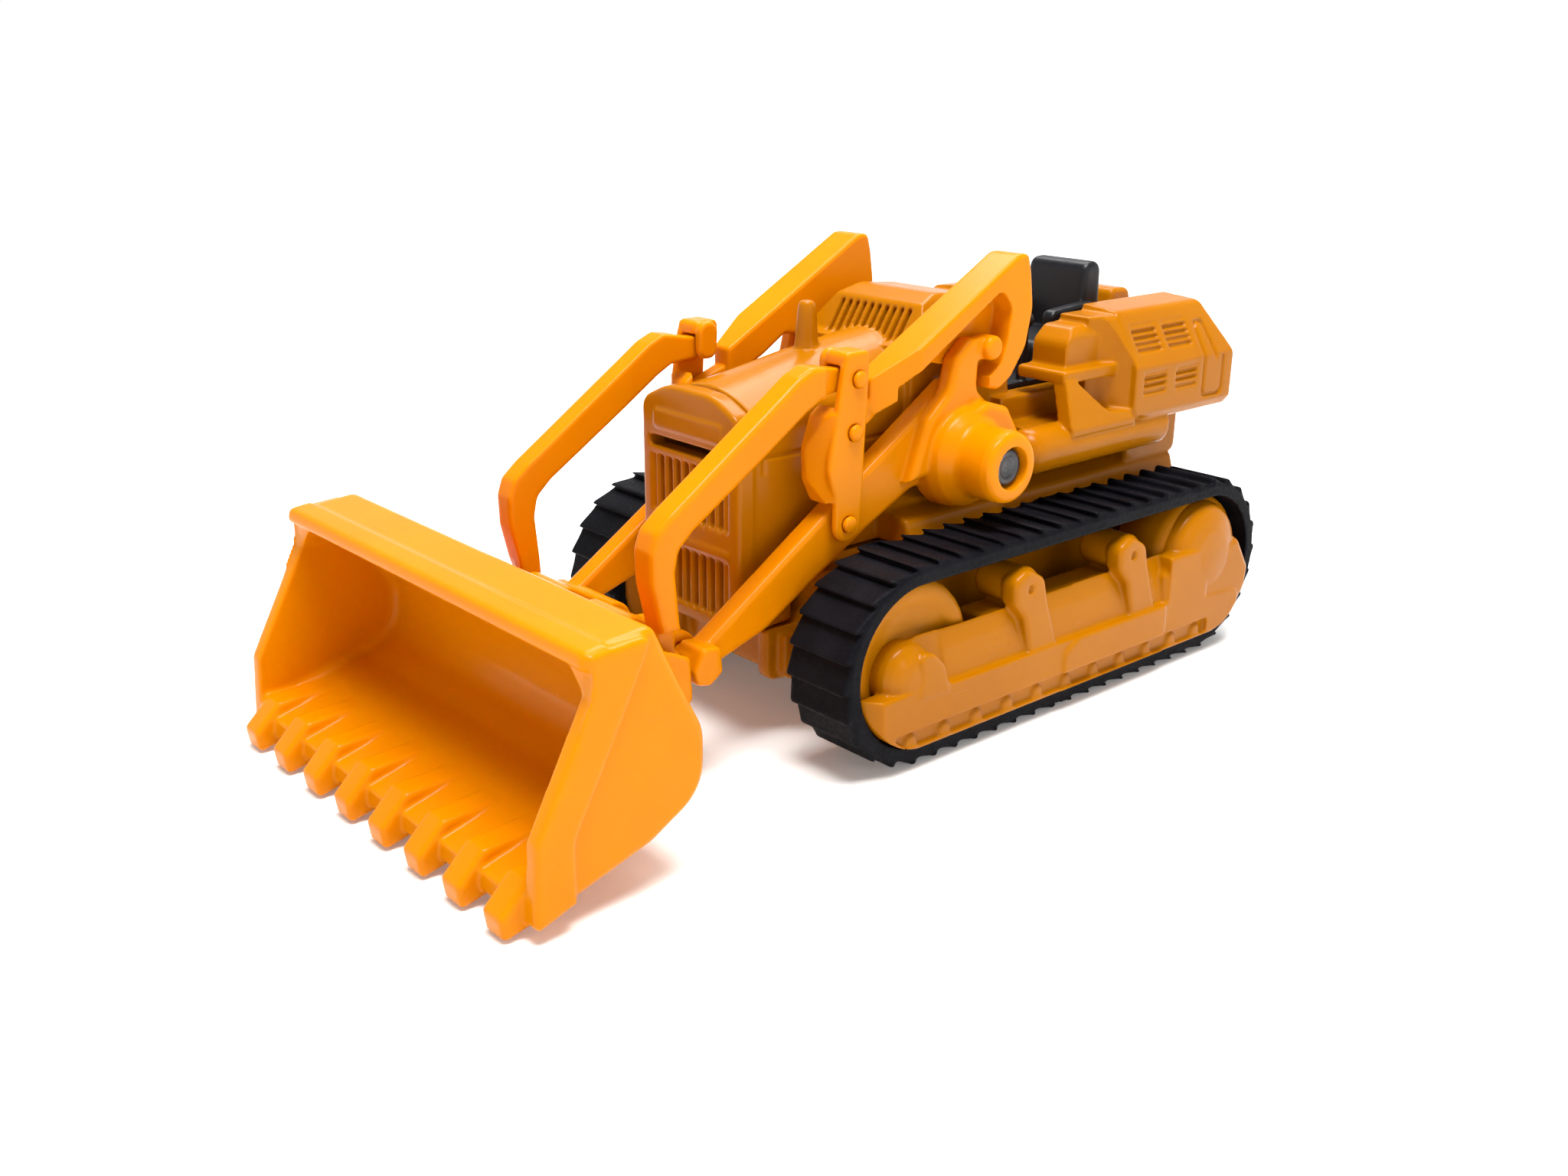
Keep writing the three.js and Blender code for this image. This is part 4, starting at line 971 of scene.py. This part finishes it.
def seat():
    """The black insert: floor, seat, arm rests and two levers with ball knobs."""
    tub = block(-4.9, 4.9, 17.3, 31.3, 21.9, 22.7)
    cushion_side = [(22.6, 22.5), (22.6, 25.2, 0.9), (28.4, 25.7), (28.4, 22.5)]
    back_side = [(27.5, 22.5), (28.9, 31.2, 0.9), (31.0, 31.3, 0.9), (31.2, 22.5)]
    rest_side = [(23.4, 25.0), (23.4, 27.8, 0.7), (28.6, 28.2), (28.6, 25.0)]
    cushion = slab(cushion_side, "x", -3.1, 3.1, 0.4)
    back = slab(back_side, "x", -3.1, 3.1, 0.5)
    rest = slab(rest_side, "x", 3.0, 4.2, 0.3)
    lever = join(bar("z", (4.4, 19.6), 0.42, 22.3, 27.4), ball((4.4, 19.6, 27.6), 0.78))
    return soften(join(tub, cushion, back, both(join(rest, lever))), FINE_VOXEL, 3)


def grille_liner():
    """The black liner behind the slot of the radiator shell."""
    low, high = box_mm("grille_liner")
    return extrude(rectangle(low.x, high.x, low.z, high.z, 0.2), "y", low.y, high.y, 0.1)


def upper_body():
    publish(body_shell(), "body_shell", "chassis", PAINT)
    publish(base(), "base", "chassis", PAINT)
    for name, y in zip(("rivet_front", "rivet_rear"), RIVET_YS):
        publish(rivet(y), name, "chassis", STEEL)
    publish(seat(), "seat_insert", "chassis", BLACK)
    publish(grille_liner(), "grille_liner", "chassis", BLACK)


# ---------- loader ----------


def boom_blank():
    """The flat bar of a lift arm, its guide post and the post's neck."""
    arm = slab([
        (-17.4, 7.7, 0.7), (-11.0, 9.75), (-1.8, 15.0, 5), (3.6, 17.7, 4), (5.8, 16.9, 1.2),
        (9.2, 17.0, 1.2), (10.4, 18.6, 1.0), (10.5, 22.6, 0.8), (8.7, 23.6, 0.6), (8.3, 24.9, 0.4),
        (6.6, 24.9, 0.5), (-2.0, 19.35), (-16.1, 10.15, 0.8), (-17.9, 9.4, 0.5),
    ], "x", BOOM_IN_X, BOOM_OUT_X, 0.4)
    post = slab([
        (1.8, 18.2), (9.6, 19.0), (9.8, 23.2, 0.8), (8.6, 24.2, 1.0), (8.7, 28.0, 0.8), (7.6, 28.1, 0.8),
        (6.1, 26.8, 0.9), (5.5, 24.4, 1.8), (3.4, 22.6, 1.2),
    ], "x", BOOM_OUT_X - 0.5, POST_OUT_X, 0.5)
    neck_side = [(8.0, 26.4), (9.55, 26.35), (9.55, 28.15), (8.0, 28.0)]
    return arm, post, slab(neck_side, "x", BOOM_OUT_X, POST_OUT_X, 0.2)


def boom_boss():
    """The shield round the lift pivot and the stepped, flared boss on it."""
    shield = slab([
        (5.2, 17.2, 0.8), (9.6, 17.2, 0.8), (12.5, 20.4, 0.4), (10.9, 22.8, 0.4), (8.6, 23.5, 0.6),
        (4.8, 21.9, 1.0),
    ], "x", BOOM_OUT_X - 0.5, 10.8, 0.6)
    boss = lathe([
        (0.05, BOOM_OUT_X - 0.4), (3.95, BOOM_OUT_X - 0.4), (3.85, 9.4), (3.6, 10.3), (3.15, 10.85),
        (2.85, 11.15), (2.72, 11.6), (2.72, 13.6), (2.6, 14.1), (2.35, 14.35), (2.05, 14.4), (0.05, 14.4),
    ], "x", BOOM_PIVOT, 72)
    return shield, boss


def boom_arm():
    """One lift arm: squared front sleeve, straight arm, guide post and the pivot's flared boss."""
    sleeve = slab([
        (-18.0, 8.6, 0.5), (-17.2, 10.15, 0.4), (-15.7, 9.95, 0.4), (-15.5, 8.1, 0.5), (-16.6, 7.35, 0.5),
        (-17.7, 7.6, 0.5),
    ], "x", BOOM_IN_X, 9.35, 0.25)
    nubs = [
        button(CRANK_PIVOT),
        bar("x", BOOM_GUIDE, 0.92, BOOM_OUT_X, 10.25, 0.35),
        bar("x", BUCKET_PIVOT, 0.7, BOOM_IN_X - 1.4, BOOM_IN_X + 0.4, 0.1),
    ]
    arm, post, neck = boom_blank()
    whole = join(arm, post, *boom_boss(), sleeve, neck, *nubs)
    bores = [
        bar("x", BOOM_PIVOT, PIN_BORE_R, 0, PIN_END_X),
        bar("x", BOOM_PIVOT, PIN_BORE_R + 0.1, PIN_END_X - 0.5, 20),
    ]
    return soften(cut(whole, *bores), FINE_VOXEL, 4)


def button(at):
    """A pivot stud: a shank through the bell-crank's plate and a soft domed head outside it."""
    face = CRANK_OUT_X + 0.03
    shank = [(0.05, BOOM_OUT_X - 0.4), (NUB_R, BOOM_OUT_X - 0.4), (NUB_R, face)]
    head = [
        (0.6, face + 0.02), (0.62, face + 0.16), (0.52, face + 0.32), (0.3, face + 0.38),
        (0.05, face + 0.4),
    ]
    return lathe(shank + head, "x", at, 40)


def pin():
    """The lift pin, with a shallow turned dimple in each end."""
    end = PIN_END_X
    half = [
        (1.4, 0.0), (1.4, end - 0.2), (1.25, end), (0.95, end), (0.75, end - 0.12), (0.5, end - 0.2),
        (0.05, end - 0.22),
    ]
    return lathe([(r, -w) for r, w in reversed(half)] + half[1:], "x", BOOM_PIVOT, 48)


def bellcrank():
    """A bell-crank: a tall plate outside the arm, a slanted front wall, and a cap and cheek on top."""
    plate = slab([
        (-5.4, 15.0, 1.2), (-3.0, 15.0, 1.2), (-2.75, 20.6, 3), (-2.4, 28.3, 1.1), (-4.7, 28.3, 1.1),
        (-5.9, 21.6, 1.5), (-6.1, 20.2, 1.5), (-5.4, 18.0, 1.5),
    ], "x", CRANK_PLATE_IN_X, CRANK_OUT_X, 0.2)
    front = slab([
        (-6.7, 21.8, 0.8), (-5.9, 24.0, 0.5), (-5.1, 24.6), (-4.9, 21.0), (-4.7, 18.2), (-5.8, 17.9),
        (-6.6, 19.5, 0.8),
    ], "x", 6.8, CRANK_OUT_X, 0.35)
    slant = extrude([(9.5, -5.3), (7.1, -6.9), (7.1, -9), (12, -9), (12, -5.3)], "z", 17, 25)
    cap_side = [(-4.75, 27.45), (-2.45, 27.45), (-2.4, 28.4, 0.6), (-4.7, 28.4, 0.6)]
    cap = slab(cap_side, "x", 7.2, CRANK_OUT_X, 0.25)
    cheek_side = [(-4.75, 25.6, 0.7), (-3.1, 25.6, 0.7), (-2.9, 28.4, 0.8), (-4.75, 28.4, 0.8)]
    cheek = slab(cheek_side, "x", 6.5, 7.25, 0.25)
    bores = [bar("x", at, NUB_R + 0.08, 8, 12) for at in (CRANK_PIVOT, CRANK_MID, CRANK_TOP)]
    return soften(cut(join(plate, cut(front, slant), cap, cheek), *bores), FINE_VOXEL, 3)


def link():
    """A tilt link: a rising leg, an elbow, a long straight run and the head on the bell-crank."""
    rear = [
        (-19.0, 12.5), (-19.3, 15.9, 1.5), (-19.0, 17.3, 1.2), (-17.8, 18.4, 1.2), (-11.4, 22.5),
        (-8.1, 24.7, 1.0), (-6.8, 25.4, 0.6),
    ]
    front = [
        (-7.5, 27.75, 0.8), (-8.8, 27.2, 1.2), (-10.4, 26.1), (-19.7, 19.8, 1.2), (-20.9, 18.8, 1.0),
        (-21.35, 17.6, 1.2), (-21.3, 15.4, 2.0), (-20.7, 12.8),
    ]
    head = [(-4.9, 25.6, 0.5), (-2.75, 25.6, 0.9), (-2.75, 27.2, 0.8), (-4.9, 27.3, 0.4)]
    shoulder = [(-6.3, 25.4), (-6.3, 27.6)]
    leg_end = [(-20.4, 11.9), (-18.9, 11.9)]
    slim_side = rounded([(-18.9, 9.6)] + rear + head + front + [(-20.1, 9.6)])
    slim = extrude(slim_side, "x", LINK_IN_X, LINK_OUT_X, 0.2)
    wide = slab(rear + shoulder + front + leg_end, "x", LINK_IN_X, CRANK_OUT_X - 0.05, 0.4)
    foot = bar("x", LINK_FOOT, 1.1, LINK_IN_X, LINK_OUT_X, 0.2)
    whole = join(slim, wide, foot, button(CRANK_TOP))
    return soften(cut(whole, bar("x", LINK_FOOT, 0.7, 5, 12)), FINE_VOXEL, 3)


def tilt_arm():
    """A tilt arm: a web inside a raised rim, from the bell-crank back to the tall hooked tail."""
    blank = slab([
        (-1.7, 23.4, 0.4), (2.0, 25.2, 3), (4.2, 26.6, 0.6), (8.3, 25.7, 0.4), (8.7, 24.4, 0.6),
        (10.5, 24.0, 1.0), (11.8, 24.8, 1.4), (13.3, 26.9, 2.0), (13.9, 29.8, 2.5), (13.5, 32.4, 1.0),
        (13.1, 33.8, 0.5), (12.0, 33.8, 0.9), (-1.7, 26.1, 0.4),
    ], "x", 6.9, 10.0, 0.3)
    hollow = slab([
        (0.4, 22.0), (0.4, 25.4), (4.4, 27.9), (7.4, 29.7), (10.3, 31.4, 0.7), (11.5, 30.0, 1.3),
        (11.1, 27.6, 1.0), (10.5, 26.0, 0.6), (9.3, 25.1), (9.3, 22.0),
    ], "x", 8.1, 12)
    tongue = slab([
        (-4.75, 22.4, 0.7), (-4.0, 21.85, 0.5), (-2.9, 22.2, 0.5), (0.4, 24.4), (0.4, 26.2), (-1.0, 25.0),
        (-4.7, 23.6, 0.7),
    ], "x", 7.3, LINK_OUT_X, 0.15)
    slant_plan = [(LINK_OUT_X, -8), (12, -8), (12, 2.2), (10.05, 2.2), (LINK_OUT_X, -1.9)]
    slant = extrude(slant_plan, "z", 20, 32)
    return soften(join(cut(blank, hollow, slant), tongue, button(CRANK_MID)), FINE_VOXEL, 3)


# the mouth's edge as seen from the side, from the blade up to the rim
BUCKET_MOUTH = [
    (-36.6, 0.9, 0.3), (-36.8, 1.4), (-36.5, 6.2, 0.8), (-32.5, 13.8, 0.8), (-32.3, 15.4, 0.3),
]
BUCKET_REACH = BUCKET_HALF_WIDTH - BUCKET_WALL


def bucket_cavity():
    """The space inside the bucket, open to the front."""
    inside = [
        (-40, 15.4), (-28.6, 15.7, 1.0), (-27.4, 13.4, 4), (-25.4, 9.4, 2.6), (-25.5, 6.2, 2.8),
        (-28.5, 4.7, 2.6), (-36.4, 2.5), (-40, 1.6),
    ]
    return slab(inside, "x", -BUCKET_REACH, BUCKET_REACH, 0.7)


def tooth(x):
    """One bucket tooth: a plain wedge with a bevelled nose whose top fades into the floor."""
    side = [
        (-38.0, 0.1, 0.3), (-33.0, 1.3), (-31.0, 2.8), (-31.4, 3.7), (-36.3, 3.5, 0.15),
        (-38.2, 1.6, 0.25),
    ]
    return slab(side, "x", x - 1.1, x + 1.1, 0.35)


def bucket_shell():
    """The hollow shell, with its raised side bands, its lip and a gusset in each upper corner."""
    half = BUCKET_HALF_WIDTH
    outer = slab([
        (-32.9, 16.5, 0.3), (-27.8, 17.0, 0.7), (-26.4, 14.0, 4), (-24.2, 9.6, 3), (-24.2, 5.6, 3.4),
        (-28.2, 3.4, 3), *BUCKET_MOUTH,
    ], "x", -half + 0.55, half - 0.55, 0.5)
    band = both(slab([
        (-32.9, 16.5, 0.3), (-28.1, 16.75, 0.5), (-29.3, 14.4), (-31.7, 9.8), (-33.9, 5.7, 2),
        (-33.9, 1.8), *BUCKET_MOUTH,
    ], "x", half - 1.1, half, 0.3))
    lip_side = [(-33.1, 15.5, 0.4), (-32.8, 16.6, 0.4), (-31.2, 16.8), (-31.2, 15.5)]
    lip = slab(lip_side, "x", -half + 0.3, half - 0.3, 0.3)
    gusset = extrude([
        (BUCKET_REACH + 0.3, 15.9), (BUCKET_REACH - 2.1, 15.9), (BUCKET_REACH - 1.1, 15.1),
        (BUCKET_REACH - 0.4, 14.4), (BUCKET_REACH + 0.3, 13.2),
    ], "y", -32.4, -29.0)
    return join(cut(join(outer, band, lip), bucket_cavity()), both(gusset))


def bucket_hinges():
    """Behind the bucket: the barrel between the lift arms and a slotted lug for each link's foot."""
    lug_side = [
        (-27.0, 13.4), (-20.4, 11.0, 0.8), (-18.5, 10.1, 0.8), (-18.35, 6.8, 0.8), (-20.5, 5.6),
        (-25.4, 6.0),
    ]
    lug = cut(
        slab(lug_side, "x", 6.0, 9.75, 0.3),
        block(LINK_IN_X - 0.3, CRANK_OUT_X + 0.15, -22.0, -16, 7.2, 20),
    )
    lugs = both(join(lug, bar("x", LINK_FOOT, NUB_R, 7.0, 9.6)))
    barrel_side = [(-26.5, 12.6), (-20.4, 12.4), (-16.9, 10.3), (-16.9, 7.5), (-25.0, 6.0)]
    barrel = join(bar("x", BUCKET_PIVOT, 1.5, -6.3, 6.3, 0.25), slab(barrel_side, "x", -6.2, 6.2, 0.3))
    sockets = both(bar("x", BUCKET_PIVOT, 0.8, 5.1, 7.0))
    barrel = cut(barrel, block(-1.4, 1.4, -22.5, -14, 3, 14), sockets)
    return cut(join(lugs, barrel), bucket_cavity())


def bucket():
    """The whole bucket in one moulding, with its row of teeth."""
    teeth = [tooth(TOOTH_SPAN * (k / (TOOTH_COUNT - 1) - 0.5)) for k in range(TOOTH_COUNT)]
    return soften(join(bucket_shell(), bucket_hinges(), *teeth), COARSE_VOXEL, 3)


def loader():
    publish_pair(boom_arm(), "boom", ("boom", "boom"), PLASTIC)
    publish(pin(), "boom_pivot_pin", "boom", STEEL)
    publish_pair(bellcrank(), "bellcrank", ("bellcrank_left", "bellcrank_right"), PLASTIC)
    publish_pair(link(), "link", ("link_left", "link_right"), PLASTIC)
    publish_pair(tilt_arm(), "tilt_arm", ("tilt_arm_left", "tilt_arm_right"), PLASTIC)
    publish(bucket(), "bucket", "bucket", PLASTIC)


# ---------- stage ----------


def floor():
    """A white floor that glows a little more the farther it is from the part."""
    mesh = bpy.data.meshes.new("floor")
    mesh.from_pydata([(-4, -4, 0), (4, -4, 0), (4, 4, 0), (-4, 4, 0)], [], [(0, 1, 2, 3)])
    made = as_object(mesh, "floor")
    material, tree, shader = nodes_of("floor_white")
    place = node(tree, "ShaderNodeTexCoord").outputs["Object"]
    distance = node(tree, "ShaderNodeVectorMath", {0: place}, operation="LENGTH").outputs["Value"]
    feed(tree, shader, {
        "Base Color": (0.93, 0.92, 0.90, 1),
        "Roughness": 0.6,
        "Emission Color": (1, 0.985, 0.965, 1),
        "Emission Strength": ramp(tree, distance, 0.08, 0.40, 0.12, 0.80),
    })
    mesh.materials.append(material)


def area_light(name, at, size, power):
    """A rectangular lamp aimed at the middle of the part."""
    data = bpy.data.lights.new(name, "AREA")
    data.shape = "RECTANGLE"
    data.size, data.size_y = size
    data.energy = power
    lamp = bpy.data.objects.new(name, data)
    bpy.context.scene.collection.objects.link(lamp)
    lamp.location = at
    lamp.rotation_euler = (Vector((0, 0, 0.015)) - Vector(at)).to_track_quat("-Z", "Y").to_euler()


def lights():
    """A white horizon under a dimmer sky, a broad key lamp and two soft fills."""
    world = bpy.data.worlds.new("studio")
    world.use_nodes = True
    tree = world.node_tree
    way = node(tree, "ShaderNodeTexCoord").outputs["Generated"]
    height = node(tree, "ShaderNodeSeparateXYZ", {"Vector": way}).outputs["Z"]
    glow = ramp(tree, height, 0.22, 0.60, 1.0, 0.25)
    feed(tree, tree.nodes["Background"], {"Color": (1, 1, 1, 1), "Strength": glow})
    bpy.context.scene.world = world
    area_light("key", (0.06, -0.03, 0.30), (0.16, 0.12), 1.5)
    area_light("top", (-0.12, 0.14, 0.30), (0.20, 0.16), 0.85)
    area_light("side", (0.30, 0.02, 0.14), (0.08, 0.12), 0.08)


def camera():
    """The viewing angle: from the front left, a little above, with a slight roll."""
    place = Matrix.Translation((0.08256, -0.07520, 0.04712))
    azimuth, elevation, roll = (math.radians(a) for a in (48.4, 19.262, 0.502))
    level = Vector((-math.sin(azimuth), math.cos(azimuth), 0)) * math.cos(elevation)
    forward = level - Vector((0, 0, math.sin(elevation)))
    across = Vector((math.cos(azimuth), math.sin(azimuth), 0))
    above = across.cross(forward)
    right = across * math.cos(roll) + above * math.sin(roll)
    up = above * math.cos(roll) - across * math.sin(roll)
    data = bpy.data.cameras.new("camera")
    data.sensor_width = 36.0
    data.lens = 34.775
    data.clip_start = 0.001
    made = bpy.data.objects.new("camera", data)
    bpy.context.scene.collection.objects.link(made)
    made.matrix_world = place @ Matrix((right, up, -forward)).transposed().to_4x4()
    bpy.context.scene.camera = made


running_gear()
upper_body()
loader()
floor()
lights()
camera()
bpy.context.scene.view_settings.view_transform = "Standard"
